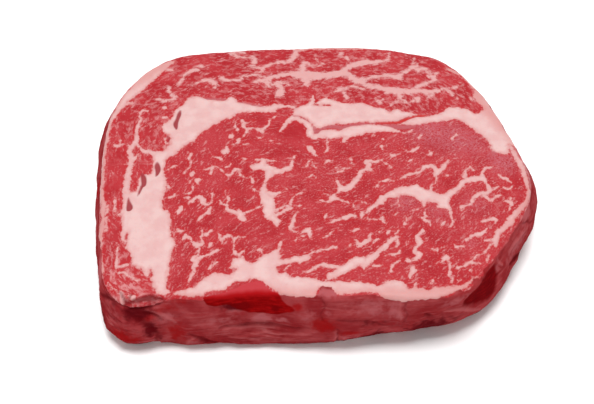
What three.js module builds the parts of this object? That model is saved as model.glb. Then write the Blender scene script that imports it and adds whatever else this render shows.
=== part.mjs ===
// A raw boneless rib-eye beef steak, modelled as the one solid slab that it is.
// Millimetres, +Z up, +X along the longer side of the cut face.
// The origin is under the middle of the steak's box, on the surface it lies on.
import * as THREE from "three";

// Driving dimensions
const THICKNESS = 29; // cut face above the surface, away from the drooping corner
const TOP_EDGE = 2.2; // radius of the knife-cut upper edge
const FOOT_EDGE = 3.4; // radius where the side turns under
const BELLY_LEVEL = 0.42; // where the side bulges most, as a share of the thickness
const FOOT_LEVEL = FOOT_EDGE / THICKNESS;

// The cut face's rim, counter-clockwise seen from below, one entry per bend:
// [x, y, how far the side bulges past the rim at belly level, and at foot level]
const RIM = [
  [-74, -52.5, 1.5, -1.0],
  [-77.5, -33.5, 1.8, -1.0],
  [-79, -8.5, 2.8, -1.0],
  [-79.7, 13.5, 4.4, -0.5],
  [-77.2, 31.8, 5.9, -0.5],
  [-68.5, 47.5, 1.0, -1.5],
  [-57, 57, 0.8, -1.5],
  [-38, 60.5, 0.8, -1.0],
  [-13, 62.1, 0.8, -0.5],
  [12.5, 62.8, 0.8, -1.0],
  [32.5, 60.4, 1.0, -1.0],
  [46.5, 55.9, 1.0, -1.5],
  [57, 45.5, 0.8, -1.5],
  [65.5, 30.5, 0.8, -1.0],
  [71.5, 13.5, 3.0, 0.5],
  [75.5, -1.5, 5.6, 1.5],
  [75, -15.5, 2.2, -1.0],
  [68.6, -29, 2.2, -1.0],
  [60.4, -41.8, 3.2, 0.8],
  [54, -53, 0.5, -4.6],
  [41, -59.5, -1.8, -7.6],
  [21, -59.5, 1.0, -3.4],
  [0, -60, 2.2, -0.4],
  [-22, -56.5, 3.0, 3.6],
  [-41, -58.5, 2.8, 2.4],
  [-55, -58.5, 1.8, 1.4],
  [-66, -59, 2.4, 0.0],
];

// Mesh density
const AROUND = 132; // columns round the rim
const FACE_RINGS = 8; // rings from the rim to the middle of the cut face
const EDGE_STEPS = 3; // facets across each rounded edge
const SIDE_STEPS = 8; // rows down the side

// Shallow swells and hollows of the cut face: [x, y, radius, height]
const FACE_SWELLS = [
  [-75, -58, 24, -4.6], // the corner that droops
  [-49, -62, 12, -1.0],
  [-59, -22, 22, 0.7], // thick wedge of fat
  [-22, -60, 13, -1.6], // dip in the fat above the bared muscle
  [20, -10, 42, 0.7], // eye muscle
  [0, 32, 20, -0.5], // seam between the eye and the cap
  [30, 50, 26, 0.4],
  [66, 20, 16, -0.6],
  [58, -48, 16, -0.8],
];

// Lumps and creases of the side: [x, y, level, half-length round the rim, half-height, depth]
const SIDE_LUMPS = [
  [-66, -61, 0.22, 11, 10, 1.4], // knob at the foot of the drooping corner
  [-75, -57, 0.15, 7, 9, 2.6], // its outer end
  [-58, -61, 0.05, 5, 6, -2.0], // arch beside the knob
  [-51, -61, 0.3, 3, 14, -2.2], // crease beside it
  [-21, -59, 0.78, 13, 4, 1.6], // bared muscle, standing proud
  [-17, -59, 0.52, 14, 3, -2.0], // hollow under it
  [-34, -61, 0.05, 9, 5, -1.8], // shallow arch in the foot
  [-29, -60, 0.24, 22, 5, 0.9],
  [0, -62, 0.6, 2.2, 10, -1.1], // upright crease in the fat
  [23, -60, 0.7, 16, 6, 0.7],
  [57, -53, 0.55, 7, 12, -1.8], // hollow at the turned-in corner
  [74, -20, 0.6, 12, 6, 0.8],
  [61, 40, 0.5, 14, 10, -0.8],
  [-20, 61, 0.5, 24, 9, 0.7],
  [22, 61, 0.4, 16, 8, -0.7],
  [-72, 38, 0.5, 16, 10, -0.7],
  [-79, -14, 0.55, 14, 8, 0.7],
];

const bell = (distance) => Math.exp(-distance * distance);

// Height of the cut face above the surface
function faceHeight(x, y) {
  return FACE_SWELLS.reduce(
    (height, [cx, cy, radius, swell]) =>
      height + swell * bell(Math.hypot(x - cx, y - cy) / radius),
    THICKNESS,
  );
}

// How far the side stands out at a place on it, on top of its plain section
function sideRelief(x, y, level) {
  return SIDE_LUMPS.reduce((out, [cx, cy, cl, halfLength, halfHeight, depth]) => {
    const along = Math.hypot(x - cx, y - cy) / halfLength;
    const up = ((level - cl) * THICKNESS) / halfHeight;
    return out + depth * bell(along) * bell(up);
  }, 0);
}

// The rim as a smooth closed curve, with the side's bulges carried along it
function rimStations() {
  const closed = (points) => new THREE.CatmullRomCurve3(points, true, "centripetal");
  const rim = closed(RIM.map(([x, y]) => new THREE.Vector3(x, y, 0)));
  const bulges = new THREE.CatmullRomCurve3(
    RIM.map(([, , belly, foot]) => new THREE.Vector3(belly, foot, 0)),
    true,
    "catmullrom",
  );
  return Array.from({ length: AROUND }, (_, i) => {
    const t = rim.getUtoTmapping(i / AROUND);
    const along = rim.getTangent(t);
    const { x: belly, y: foot } = bulges.getPoint(t);
    return { at: rim.getPoint(t), out: new THREE.Vector3(-along.y, along.x, 0), belly, foot };
  });
}

// How far the side stands out from the rim at a level between 0 and 1
function sideOffset(belly, foot, level) {
  if (level >= BELLY_LEVEL) {
    const share = (1 - level) / (1 - BELLY_LEVEL);
    return belly * Math.sin((share * Math.PI) / 2);
  }
  const share = (BELLY_LEVEL - level) / (BELLY_LEVEL - FOOT_LEVEL);
  return belly + (foot - belly) * (1 - Math.cos((share * Math.PI) / 2));
}

// The rows of one station's section, from the cut face's edge to the foot: {offset, height}
function section({ at, belly, foot }) {
  const rows = [];
  const rimHeight = faceHeight(at.x, at.y);
  for (let i = 0; i < EDGE_STEPS; i++) {
    const turn = (i / EDGE_STEPS) * (Math.PI / 2);
    rows.push({
      offset: TOP_EDGE * (Math.sin(turn) - 1),
      height: rimHeight - TOP_EDGE * (1 - Math.cos(turn)),
    });
  }
  const upper = rimHeight - TOP_EDGE;
  for (let i = 0; i <= SIDE_STEPS; i++) {
    const height = THREE.MathUtils.lerp(upper, FOOT_EDGE, i / SIDE_STEPS);
    const level = THREE.MathUtils.mapLinear(height, upper, FOOT_EDGE, 1, FOOT_LEVEL);
    const relief = sideRelief(at.x, at.y, level);
    rows.push({ offset: sideOffset(belly, foot, level) + relief, height });
  }
  const footOffset = rows.at(-1).offset;
  for (let i = 1; i <= EDGE_STEPS; i++) {
    const turn = (i / EDGE_STEPS) * (Math.PI / 2);
    rows.push({
      offset: footOffset - FOOT_EDGE * (1 - Math.cos(turn)),
      height: FOOT_EDGE * (1 - Math.sin(turn)),
    });
  }
  return rows;
}

// The whole outside as rings of AROUND points: cut face outwards, down the side, then the base
function steakRings(stations) {
  const sections = stations.map(section);
  const edge = stations.map(({ at, out }, i) =>
    at.clone().addScaledVector(out, sections[i][0].offset),
  );
  const rings = [];
  for (let r = 1; r < FACE_RINGS; r++) {
    rings.push(
      edge.map(({ x, y }) => {
        const share = r / FACE_RINGS;
        return new THREE.Vector3(x * share, y * share, faceHeight(x * share, y * share));
      }),
    );
  }
  sections[0].forEach((_, row) => {
    rings.push(
      stations.map(({ at, out }, i) => {
        const { offset, height } = sections[i][row];
        return at.clone().addScaledVector(out, offset).setZ(height);
      }),
    );
  });
  return rings;
}

// A closed mesh from the rings, with a fan in the middle of the cut face and of the base
function closedGeometry(rings) {
  const points = [new THREE.Vector3(0, 0, faceHeight(0, 0)), ...rings.flat(), new THREE.Vector3()];
  const vertex = (ring, i) => 1 + ring * AROUND + (i % AROUND);
  const faces = [];
  for (let i = 0; i < AROUND; i++) {
    faces.push(0, vertex(0, i + 1), vertex(0, i));
    for (let r = 0; r + 1 < rings.length; r++) {
      const [a, b] = [vertex(r, i), vertex(r, i + 1)];
      const [c, d] = [vertex(r + 1, i), vertex(r + 1, i + 1)];
      faces.push(a, b, c, b, d, c);
    }
    faces.push(points.length - 1, vertex(rings.length - 1, i), vertex(rings.length - 1, i + 1));
  }
  return new THREE.BufferGeometry().setFromPoints(points).setIndex(faces);
}

function makeSteak() {
  const geometry = closedGeometry(steakRings(rimStations()));
  geometry.computeBoundingBox();
  const middle = geometry.boundingBox.getCenter(new THREE.Vector3());
  geometry.translate(-middle.x, -middle.y, 0);
  geometry.computeVertexNormals();
  const material = new THREE.MeshStandardMaterial({
    color: 0xc4474c,
    roughness: 0.45,
    metalness: 0,
  });
  const steak = new THREE.Mesh(geometry, material);
  steak.name = "steak";
  return steak;
}

const part = new THREE.Group();
part.add(makeSteak());

export default part;
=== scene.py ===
"""Looks of a raw boneless rib-eye beef steak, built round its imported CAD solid.

The steak is one piece: a fine mesh on the CAD solid's own surface. Its anatomy is drawn on it in
millimetres with tapering strokes and outlines: seams and veins of fat, islands of lean, vessels.
The mesh carries how deep each point lies in each of them, and the material turns that into colour.
"""
from math import cos, pi, radians, sin

import bmesh
import bpy
import numpy as np
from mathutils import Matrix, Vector, noise
from mathutils.bvhtree import BVHTree


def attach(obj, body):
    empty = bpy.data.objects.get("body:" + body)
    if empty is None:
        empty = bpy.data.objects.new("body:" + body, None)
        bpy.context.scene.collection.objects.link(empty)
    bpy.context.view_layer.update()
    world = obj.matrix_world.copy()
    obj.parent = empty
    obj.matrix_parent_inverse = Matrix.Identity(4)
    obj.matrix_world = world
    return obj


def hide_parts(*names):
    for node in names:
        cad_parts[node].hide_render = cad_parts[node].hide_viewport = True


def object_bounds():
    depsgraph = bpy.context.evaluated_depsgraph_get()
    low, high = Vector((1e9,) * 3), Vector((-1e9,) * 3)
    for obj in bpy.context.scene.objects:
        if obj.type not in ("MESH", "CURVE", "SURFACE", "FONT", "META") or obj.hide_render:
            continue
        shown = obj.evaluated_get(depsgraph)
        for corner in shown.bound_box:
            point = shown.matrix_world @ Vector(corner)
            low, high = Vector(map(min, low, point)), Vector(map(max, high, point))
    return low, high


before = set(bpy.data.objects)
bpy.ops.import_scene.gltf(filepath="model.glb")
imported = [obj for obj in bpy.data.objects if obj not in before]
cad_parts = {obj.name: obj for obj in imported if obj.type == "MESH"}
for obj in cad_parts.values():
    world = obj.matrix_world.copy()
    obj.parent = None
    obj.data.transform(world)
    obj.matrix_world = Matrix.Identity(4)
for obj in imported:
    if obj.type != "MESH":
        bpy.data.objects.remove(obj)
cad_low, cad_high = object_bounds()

MM = 0.001

# ---------------------------------------------------------------------------------------------
# The drawing of the cut face, in millimetres from DRAWN_FROM in the steak's own frame
# ---------------------------------------------------------------------------------------------
DRAWN_FROM = np.array([1.18, -0.35])

# Outlines of the broad fat
FAT_AREAS = {
    "left wedge": [
        (-56, 1.5), (-56, -3), (-55.4, -7), (-55.2, -12), (-55.8, -16), (-55.6, -19), (-55, -21.4),
        (-53.4, -22.4), (-52.4, -24.5), (-52.1, -30), (-51.7, -33), (-50.5, -35), (-50.3, -37.5),
        (-51.2, -41), (-51.5, -46), (-52, -53), (-51, -55.2), (-53.5, -56), (-55, -55.2),
        (-55.7, -53.8), (-56.8, -51), (-57.6, -49), (-59.3, -48), (-60, -46.8), (-61.2, -45.4),
        (-62.7, -44.6), (-64.3, -44), (-64.6, -42), (-65.1, -40.4), (-66.2, -38.8), (-67.4, -37),
        (-68.4, -35.3), (-69.2, -33), (-69.5, -28), (-69.6, -22), (-69.8, -16), (-68.5, -14),
        (-66, -13.3), (-65, -11.5), (-64.9, -7), (-63.8, -4.8), (-62.3, -4.7), (-61, -5.2),
        (-60.3, -3), (-60.5, 3), (-58, 4),
    ],
    "upper wedge": [
        (-60.5, 5.5), (-57, 6.2), (-55.8, 8), (-55, 10), (-54.8, 13), (-55.4, 14.4), (-57.3, 15.4),
        (-58.1, 17.7), (-57.9, 19.6), (-56.5, 21.2), (-55, 23), (-54.6, 25), (-53.8, 27.3),
        (-51.9, 29.6), (-50.4, 31.5), (-49.3, 33.4), (-47, 34.3), (-44, 34), (-41.8, 33.1),
        (-38.5, 32.7), (-35.5, 32.5), (-33.8, 34.1), (-32, 34), (-31, 32.5), (-30, 31.6),
        (-27, 31), (-24, 30), (-20.5, 29.2), (-18.3, 29.6), (-17, 30.8), (-14, 30.4), (-8, 29.5),
        (-9.7, 28), (-11, 28.7), (-13.5, 28.7), (-15.5, 27.8), (-17, 26.3), (-20, 26), (-25, 26.3),
        (-29.5, 26), (-31.3, 25), (-33.2, 22.6), (-34.2, 23), (-35.2, 22.6), (-37, 21),
        (-39.5, 19.3), (-42, 17), (-44.5, 14.5), (-46, 11.2), (-47.5, 10.5), (-49.5, 9), (-51, 7),
        (-52.5, 5), (-55, 3), (-56, 1), (-58.5, 0),
    ],
    "sheet under the cap": [
        (-10, 25.8), (-8.5, 28.5), (-5.5, 30), (-3.8, 31), (-2.9, 32.6), (-2, 35.4), (-1.4, 33.5),
        (-1.2, 31), (0.3, 32.4), (1.6, 33.7), (3.2, 34), (5, 33.3), (7, 32), (9, 31.2), (12, 30.8),
        (14.5, 31.2), (17, 30.8), (19, 29.8), (21.5, 28.4), (24.5, 27.6), (26.2, 26.6), (27, 25.4),
        (28.2, 26.4), (29.6, 27.7), (31, 26.8), (34, 26), (36, 25.1), (38.5, 24.6), (35.5, 23.6),
        (33, 22.6), (30.5, 21.4), (27, 21), (22, 21), (15, 20.6), (10, 20), (6, 19.8), (3, 18.9),
        (0.8, 17.6), (-0.8, 17.9), (-2.2, 20), (-4, 22.4), (-6, 24), (-8.5, 24.8),
    ],
    "right wedge": [
        (30.4, 19.7), (35, 19.4), (40, 20), (45, 21), (48.5, 22), (51, 22.6), (53.3, 21.9),
        (55.3, 20), (57.5, 17.6), (60, 15), (62, 12.5), (62.9, 10), (63.3, 7.5), (64.3, 6.1),
        (66.5, 5.7), (68.5, 5.1), (69.8, 6), (70, 9.5), (73, 10), (71, 18), (68, 26), (66, 31),
        (64, 35), (62.5, 39), (60.6, 39), (59.6, 37), (58.9, 34.5), (60.2, 32.2), (61.7, 30.2),
        (62.6, 28.7), (61.5, 26.9), (60.2, 25.8), (58.7, 25.9), (57, 27.3), (54.5, 28.4),
        (51.5, 28.9), (49, 28.5), (47.3, 27), (45.8, 25.6), (42, 24.3), (38, 23.7), (35, 22.9),
        (32.6, 21.2),
    ],
    "front lip": [
        (-50.5, -55.3), (-46, -54.6), (-43, -54), (-40.7, -52.2), (-38.7, -50.4), (-37, -49.2),
        (-35, -48.6), (-33.3, -49.1), (-31.3, -49.7), (-30, -48.6), (-28.6, -47), (-30.8, -46.7),
        (-30.4, -44.6), (-29.8, -43.1), (-28, -42.9), (-26.6, -42), (-25.9, -43.5), (-24, -44.4),
        (-22, -43.8), (-20, -42.3), (-18, -41), (-16, -39.7), (-14.8, -38.3), (-13.9, -35.8),
        (-12.8, -36), (-13.7, -39.3), (-13.9, -41.3), (-13.2, -42.2), (-14, -43.3), (-10.6, -43.2),
        (-9, -42.1), (-7, -42.3), (-5.5, -41.7), (-3.5, -42.3), (-3.4, -43.2), (-4.5, -44),
        (-6, -44.6), (-7, -45.9), (-7.9, -44.9), (-12, -45.3), (-14.8, -46), (-14.9, -47.6),
        (-14, -49.3), (-12.4, -48.8), (-11.3, -49.1), (-10.4, -50.4), (-6, -51), (-2.5, -51.4),
        (-0.8, -52.3), (1.5, -52.9), (4.5, -52.7), (6.5, -52.5), (8.5, -53.3), (12, -53),
        (15, -53.7), (18, -54.2), (19.5, -54.9), (21, -53.8), (22.7, -53), (25, -52.6), (27, -53),
        (28.8, -54), (29.3, -55.4), (30.2, -56.3), (31.3, -56), (33.5, -55.8), (35.5, -56.5),
        (39, -55.3), (42, -55), (45, -54.6), (48, -54.4), (50.5, -53), (49.8, -54.8), (47.5, -56),
        (45, -57), (42.5, -58.2), (40.5, -59), (39.5, -60.5), (35.5, -60.5), (34.5, -60),
        (33, -60.8), (30, -60.3), (27, -61.5), (24, -60.6), (21.3, -59.8), (19.5, -58.2),
        (15, -57.3), (9, -58.2), (6, -58.3), (4.8, -57.1), (3, -56.1), (-0.3, -55.7),
        (-0.9, -56.6), (-1.7, -58.4), (-3, -59.4), (-7, -59.2), (-10, -58.6), (-12, -57.8),
        (-14, -56.7), (-16, -55.4), (-18, -53.5), (-20, -52), (-23, -51), (-26, -52), (-29, -52.5),
        (-31, -54), (-33, -55.5), (-37, -55.8), (-39, -56.5), (-40, -57.5), (-46, -57), (-49, -56),
    ],
    "big arc": [
        (15.5, -23.5), (17.5, -20.8), (20, -18.7), (21.3, -15.2), (23, -15), (25, -13.5),
        (28, -11.8), (31, -11.2), (34.5, -10.3), (37, -11.8), (39.3, -13), (40.8, -13.3),
        (42.5, -14.3), (45, -14.4), (46.5, -13.5), (49, -12), (51.5, -10), (47, -16), (46.3, -20),
        (46.5, -22), (45, -21.3), (43, -21), (41.5, -20.5), (41.3, -18.6), (38, -18.4),
        (36.8, -20.2), (35.5, -17.8), (34, -16.3), (32, -15.2), (30, -15), (28, -15.7),
        (26, -16.3), (24, -17), (23, -18.8), (21, -20), (19, -21.8), (17, -22.8),
    ],
}

# Seams and veins of fat, as strokes of (x, y, half-width)
FAT_RIMS = [
    # round the outside
    [(-57, 53.5, 1), (-62, 49, 2.4), (-66, 44, 3), (-70, 38, 2.2), (-72, 35, 2), (-73.5, 32, 1.6),
     (-75, 29, 1.3), (-76.5, 25, 1), (-77.7, 22, 0.8), (-78.4, 18, 0.8), (-78.3, 14, 0.7),
     (-78.7, 10, 0.7), (-78.8, 5, 0.8), (-78.6, 0, 0.8), (-78.5, -5, 0.7), (-78.3, -10, 0.8),
     (-78, -15, 1), (-77, -18, 0.9), (-76.7, -22, 1), (-76.5, -25, 0.6), (-76.8, -30, 1),
     (-77, -35, 1.2), (-76, -40, 0.9), (-75, -46, 0.8)],
    [(-72, 31, 0.6), (-70.5, 31.5, 0.4)],
    [(71, 9, 0.6), (71.8, 5, 0.8), (72.8, 2, 1.1), (73.6, 0, 1.2), (73.9, -2, 0.9),
     (74.2, -5, 0.8), (74.5, -9, 0.7), (74.6, -14, 0.6), (73, -18, 0.7), (71.5, -20, 0.9),
     (70, -22, 1.1), (68.3, -24.5, 1.2), (66.5, -27.5, 1.2), (65, -29, 1.1), (63, -30.8, 0.9),
     (61.5, -33, 1.1), (60.8, -35, 1.1), (60.6, -37.5, 0.5)],
    [(57, -35.2, 0.3), (59, -34.8, 0.4), (61, -34, 1)],
    [(50, -53.5, 0.5), (52, -51.5, 0.3), (53.5, -50, 0.3)],
    [(57.3, -43.5, 0.5), (58, -41.5, 0.3)],
    [(-8, 60.5, 0.8), (5, 61, 0.6), (18, 60.5, 0.4)],
    [(50, 49.5, 0.5), (55, 46, 0.5), (58.5, 41.5, 0.5), (61, 37, 0.5)],
    [(-67.8, -53.5, 0.6), (-67, -56, 0.8), (-66.3, -58.5, 0.7)],
    [(-64.5, -55.5, 0.5), (-63, -56.5, 0.9), (-62.5, -57.5, 0.5)],
    # between the left rim and the wedge
    [(-64.5, 27, 0.4), (-66, 27, 0.4), (-67, 25, 0.4), (-66.5, 23, 0.4), (-67, 20, 0.7),
     (-67.7, 17, 0.7), (-67.5, 14, 0.8), (-67.3, 11.5, 0.9), (-68.5, 9, 1), (-69.3, 7, 0.9),
     (-68.8, 4, 0.9), (-68.5, 1, 1), (-68.8, -3, 1), (-69, -8, 1.15), (-69, -12, 1.3),
     (-68.5, -15, 1.6)],
    [(-68, 2, 0.8), (-67, 3.5, 0.6), (-66.3, 5, 0.4)],
    [(-67, 10.5, 0.6), (-66, 8.5, 0.5), (-65, 7.3, 0.6), (-63.5, 6.3, 0.8), (-62, 5.8, 1),
     (-60.5, 5, 1)],
    [(-75, 10, 0.5), (-73.8, 9.3, 0.6), (-73, 12, 0.3)],
    [(-73.5, 9, 0.4), (-72, 10, 0.4), (-69.5, 9, 0.5)],
    [(-75.2, -19.5, 0.4), (-75.3, -25, 0.4), (-74.8, -30, 0.5)],
    [(-72.8, -17, 0.4), (-72.5, -20, 0.5), (-72.3, -22.5, 0.5), (-70.5, -23.7, 0.5),
     (-69.5, -22.5, 0.9)],
    [(-70, -37, 0.3), (-69.8, -44, 0.4)],
    [(-69.5, -44.5, 0.4), (-66, -44, 0.4)],
    [(-69, -46, 0.3), (-66, -47, 0.4), (-63, -49, 0.4), (-61, -50, 0.4)],
    [(-72.5, -50, 0.4), (-70, -52.5, 0.35), (-68, -53.3, 0.3)],
    [(-57, 13, 0.3), (-56.5, 10, 0.3), (-57, 7, 0.4)],
    [(-58, 23.5, 0.5), (-57, 23.3, 0.6)],
    [(-58.4, 28.7, 0.6), (-57.6, 28.7, 0.6)],
    # the curved band under the sheet
    [(-14, 16.5, 0.3), (-13.5, 18, 0.6), (-12.3, 20, 0.8), (-11, 22, 0.9), (-9.5, 23.5, 1),
     (-8, 23.3, 1.1), (-6.5, 22, 1.2), (-4.5, 20.5, 1.2), (-3, 18, 1.3), (-3, 15.5, 1.5),
     (-2, 13.8, 1.3), (0, 14.3, 1.4), (2, 15, 1.9), (5, 14.8, 2.2), (8, 15, 1.8), (11, 15.8, 2.6),
     (15, 16.8, 2.5), (20, 17.8, 2), (25, 17.5, 1.6), (28, 16.8, 1), (30, 16, 0.5),
     (32, 15.5, 0.3), (35, 16.7, 0.3)],
    [(10, 12.5, 0.8), (9.2, 11, 0.6), (8.9, 10.6, 0.3)],
    [(2.5, 12.5, 0.3), (3.3, 11, 0.35), (3.2, 9.5, 0.3), (3, 6.5, 0.35), (2.5, 5.5, 0.3)],
    # the forked vein
    [(-24.5, -1, 0.5), (-23, -1.5, 1.3), (-21, -1.3, 1.6), (-19, -2, 1.6), (-17, -3, 1.7),
     (-15, -3.5, 1.6), (-13, -3, 1), (-11, -2.5, 1), (-10, -1, 0.6), (-9.8, 0.5, 0.5),
     (-9.5, 2, 0.4), (-9, 3.5, 0.4)],
    [(-21, -1, 1.2), (-20.3, 1, 1), (-20.5, 2, 0.7)],
    [(-23, 2, 0.3), (-21.8, 1.8, 0.5)],
    [(-20, 2.2, 0.6), (-18, 1.6, 0.5), (-15.5, 1, 0.3)],
    [(-18, -4, 1.6), (-18, -5, 1.3), (-19, -7.5, 0.7), (-19.8, -10, 0.6), (-20, -12.5, 1.2),
     (-19.8, -15, 1.6), (-18.5, -17, 2.3), (-17.8, -19.5, 2.3), (-18, -22, 2.2),
     (-17.8, -24.5, 1.6)],
    [(-17, -25, 1.4), (-15.5, -26, 1.2), (-15, -27.5, 1), (-15, -28.8, 0.3)],
    [(-18, -14, 1.2), (-16, -14.5, 1), (-13.7, -14, 0.5)],
    [(-15.5, -22, 0.5), (-13, -20.5, 0.4), (-10.5, -20, 0.4)],
    [(-16, -24.5, 0.5), (-13, -22.7, 0.6), (-10.5, -21, 0.6), (-9.3, -20.5, 0.3)],
    [(-10.3, -19.5, 0.3), (-9.8, -17, 0.3), (-8.5, -15, 0.3), (-5.8, -13.5, 0.3)],
    # veins out of the front lip
    [(-4.8, -49.2, 0.3), (-3.5, -48.3, 0.6), (-1.5, -47.2, 0.7), (0.5, -46.1, 0.9),
     (2.5, -46.5, 0.8), (5, -47, 0.8), (8, -47.2, 0.8)],
    [(1, -45.4, 0.4), (1.4, -45.4, 0.4)],
    [(-12.4, -47.7, 0.3), (-10.4, -46, 0.3)],
    [(2, -52.3, 0.3), (4, -51, 0.5), (3.2, -50.3, 1), (5, -50.3, 1.3), (7, -48.7, 1.6),
     (9, -47.3, 1.7), (11, -45.5, 1.8), (13, -44.5, 2), (15, -45.3, 1.7), (16.5, -44.3, 1.5),
     (18, -42.5, 1.3), (20, -40.8, 0.9), (22, -38.7, 0.9), (23.5, -36.5, 0.8), (25, -34.8, 0.7),
     (26.3, -34.3, 0.7), (27.3, -34, 0.4)],
    [(15, -46.5, 0.9), (15, -48, 0.3)],
    [(26.7, -35.5, 0.6), (26.8, -37, 0.6), (25.8, -38.2, 0.3)],
    [(32.3, -53.8, 0.3), (31.7, -55.5, 0.4), (32.5, -56.5, 0.4)],
]

CAP_VEINS = [
    [(-24.5, 42.5, 0.6), (-22.5, 43, 0.9), (-20, 43.5, 1.2), (-18.5, 44.5, 1.2), (-16, 45.5, 1),
     (-13.5, 46.5, 1.2), (-10.5, 47, 1.1), (-8, 46.3, 1.8), (-5, 46, 2.4), (0, 45.7, 1.9),
     (4, 46, 1.7), (8, 46.8, 1.6), (11.5, 46, 1.4), (13.5, 44.2, 1.2), (15, 42.7, 1.3),
     (16.5, 42, 1.6), (18.5, 40.5, 1.1), (21, 39.5, 1.1), (24, 39, 1.2), (27, 37.5, 1.6),
     (30, 37, 1.9), (33, 37, 1.5), (37, 37, 1.3), (40, 36.8, 1.2), (43.5, 36.8, 1.3),
     (46, 37.5, 0.8), (48, 38.3, 0.7), (52, 39.3, 0.4), (56, 41, 0.3)],
    [(8, 46.8, 1.6), (10, 48, 1.5), (11.5, 49.7, 1.3), (13, 51, 1.3), (15.5, 52, 1.3),
     (18, 52.5, 1.4), (20, 53, 1.3), (24.5, 53, 1.2)],
    [(19.5, 53.5, 0.6), (19.5, 54.8, 0.2)],
    [(-19.5, 42, 1.2), (-19.3, 40.5, 0.8), (-18, 40.5, 0.6), (-16, 41.5, 0.8), (-15, 42.5, 0.6),
     (-13, 42.3, 0.4), (-11.5, 42, 0.4), (-11, 41, 0.4)],
    [(-15.5, 41, 1), (-14.5, 39.5, 1.3), (-14, 38, 1.3), (-14.5, 36, 1.6), (-15.5, 34.5, 0.6)],
    [(-5.3, 53, 1), (-5.7, 50, 1.1), (-5.7, 47.5, 1.6)],
    [(-4.3, 43, 1.5), (-4.2, 41, 0.8)],
    [(-4.5, 52.5, 0.8), (-3, 52, 0.5), (-1.5, 51.2, 0.5), (0, 50.8, 0.5), (1.2, 51.5, 0.5),
     (2, 52.5, 0.5)],
    [(17, 44.5, 0.4), (17.2, 45.8, 0.2)],
    [(17, 43.5, 0.9), (20, 44.3, 0.9), (23, 45, 0.9), (27, 45.2, 1), (31, 45.3, 1.3),
     (33, 46.5, 0.8), (35, 48.3, 0.8), (37, 50, 0.9), (38.5, 50.5, 0.9), (38.8, 51.5, 0.3)],
    [(31, 44.3, 1), (32, 43.3, 0.4)],
    [(38.5, 49, 1), (38.2, 47.3, 0.4)],
    [(39, 48.8, 0.9), (40.5, 49.2, 0.8), (42, 48.8, 0.7), (43, 47.3, 0.6), (43.5, 45.8, 0.4)],
    [(43, 45, 0.8), (44.8, 44.5, 1.1), (45.3, 46, 0.5), (46, 47, 0.3)],
    [(44.7, 43, 0.9), (43.5, 42, 0.8), (42, 41.3, 0.8), (40.3, 40.5, 0.7), (39, 39.3, 1),
     (38, 38.5, 1)],
    [(7.5, 37.8, 0.7), (8.5, 39, 0.8), (11, 39.5, 0.6), (13, 39.8, 0.5), (16, 39.3, 0.4),
     (17.5, 38.3, 0.5)],
    [(8.5, 38, 0.9), (10, 36.5, 0.7), (10.8, 34.5, 0.6), (11, 33.5, 0.4)],
    [(9.3, 58.5, 0.6), (9, 56.5, 0.7)],
    [(11, 55.3, 0.8), (12, 54.5, 0.4)],
    [(-1, 57.5, 0.3), (-0.5, 55, 0.3), (0, 53.5, 0.3)],
    [(22, 33, 0.25), (23, 31.5, 0.4), (23.5, 30.5, 0.5), (24.5, 32.5, 0.25)],
    [(30.8, 36, 1.1), (30.8, 33.5, 0.9), (30, 31.5, 0.5), (28.7, 30.5, 0.4), (27.5, 29.5, 0.3)],
    [(31, 33.5, 0.8), (32.5, 32, 0.6), (33.8, 31, 0.35)],
    [(26.3, 53.3, 0.6), (27.3, 54.2, 0.5), (28, 56, 0.35), (28, 58, 0.25)],
    [(37.7, 55, 0.25), (37.5, 53, 0.3), (36.8, 51.5, 0.4)],
    [(43.5, 36, 1), (43.3, 34.5, 0.8), (42, 33.7, 0.6), (41, 33, 0.4)],
    [(49.5, 38, 0.6), (51, 36, 0.5), (51.3, 35, 0.25)],
    [(53, 34.5, 0.4), (53, 33, 0.4)],
    [(58, 34, 0.4), (59, 33, 0.5)],
    [(36, 32, 0.8), (38, 33, 0.8), (37.5, 31.5, 0.9)],
    [(-38, 45.3, 0.3), (-36.8, 44.5, 0.7), (-36, 43.3, 0.8), (-33.5, 43.2, 0.7), (-31, 43.3, 0.6),
     (-29.3, 44.3, 0.6), (-28.7, 45.8, 0.6), (-27, 46, 0.5), (-24.5, 46, 0.4), (-20, 45, 0.4)],
    [(-27, 45.7, 0.4), (-24, 47, 0.4), (-22.3, 47.8, 0.5), (-21.5, 49, 0.6), (-21, 50.5, 0.7),
     (-19, 51.5, 0.6), (-17, 52.5, 0.7), (-15, 53.3, 0.7), (-12.5, 53.3, 0.7), (-10.5, 54.5, 0.9),
     (-9, 56.5, 1.1), (-8.3, 59, 1.1), (-7.5, 61, 1.2)],
    [(-21, 50.5, 0.6), (-24, 50.5, 0.6), (-26.3, 51.3, 0.5)],
    [(-24.5, 51.5, 0.6), (-24.5, 53.5, 0.9), (-24.8, 55.5, 0.9), (-27, 56, 0.6), (-30, 56.3, 0.4),
     (-31.8, 56.5, 0.4), (-32, 57.5, 0.5), (-34, 58.5, 0.6)],
    [(-34, 58.5, 0.5), (-32, 59, 0.8), (-29, 59, 0.6)],
    [(-57.5, 39.5, 0.8), (-57, 38, 0.7), (-56, 36, 0.7), (-54.8, 34.5, 0.9), (-54.5, 33, 0.9),
     (-56, 32.7, 0.6), (-58.5, 32.2, 0.6), (-61, 33, 0.3)],
    [(-53.5, 40.5, 0.5), (-52.5, 43, 0.5), (-50.5, 47, 0.6), (-49, 48.5, 0.7), (-47.5, 49.3, 0.8),
     (-46, 48.8, 0.4)],
    [(-58, 49, 0.8), (-57, 49, 0.8)],
    [(-46, 51, 0.7), (-45, 51, 0.7)],
    [(-49, 41, 0.4), (-47, 42, 0.5), (-45, 42.5, 0.6), (-43.5, 43.3, 0.9), (-41.5, 43.3, 1),
     (-40, 42, 1.1), (-39, 41, 0.9), (-39.5, 39.5, 0.5)],
]

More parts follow.
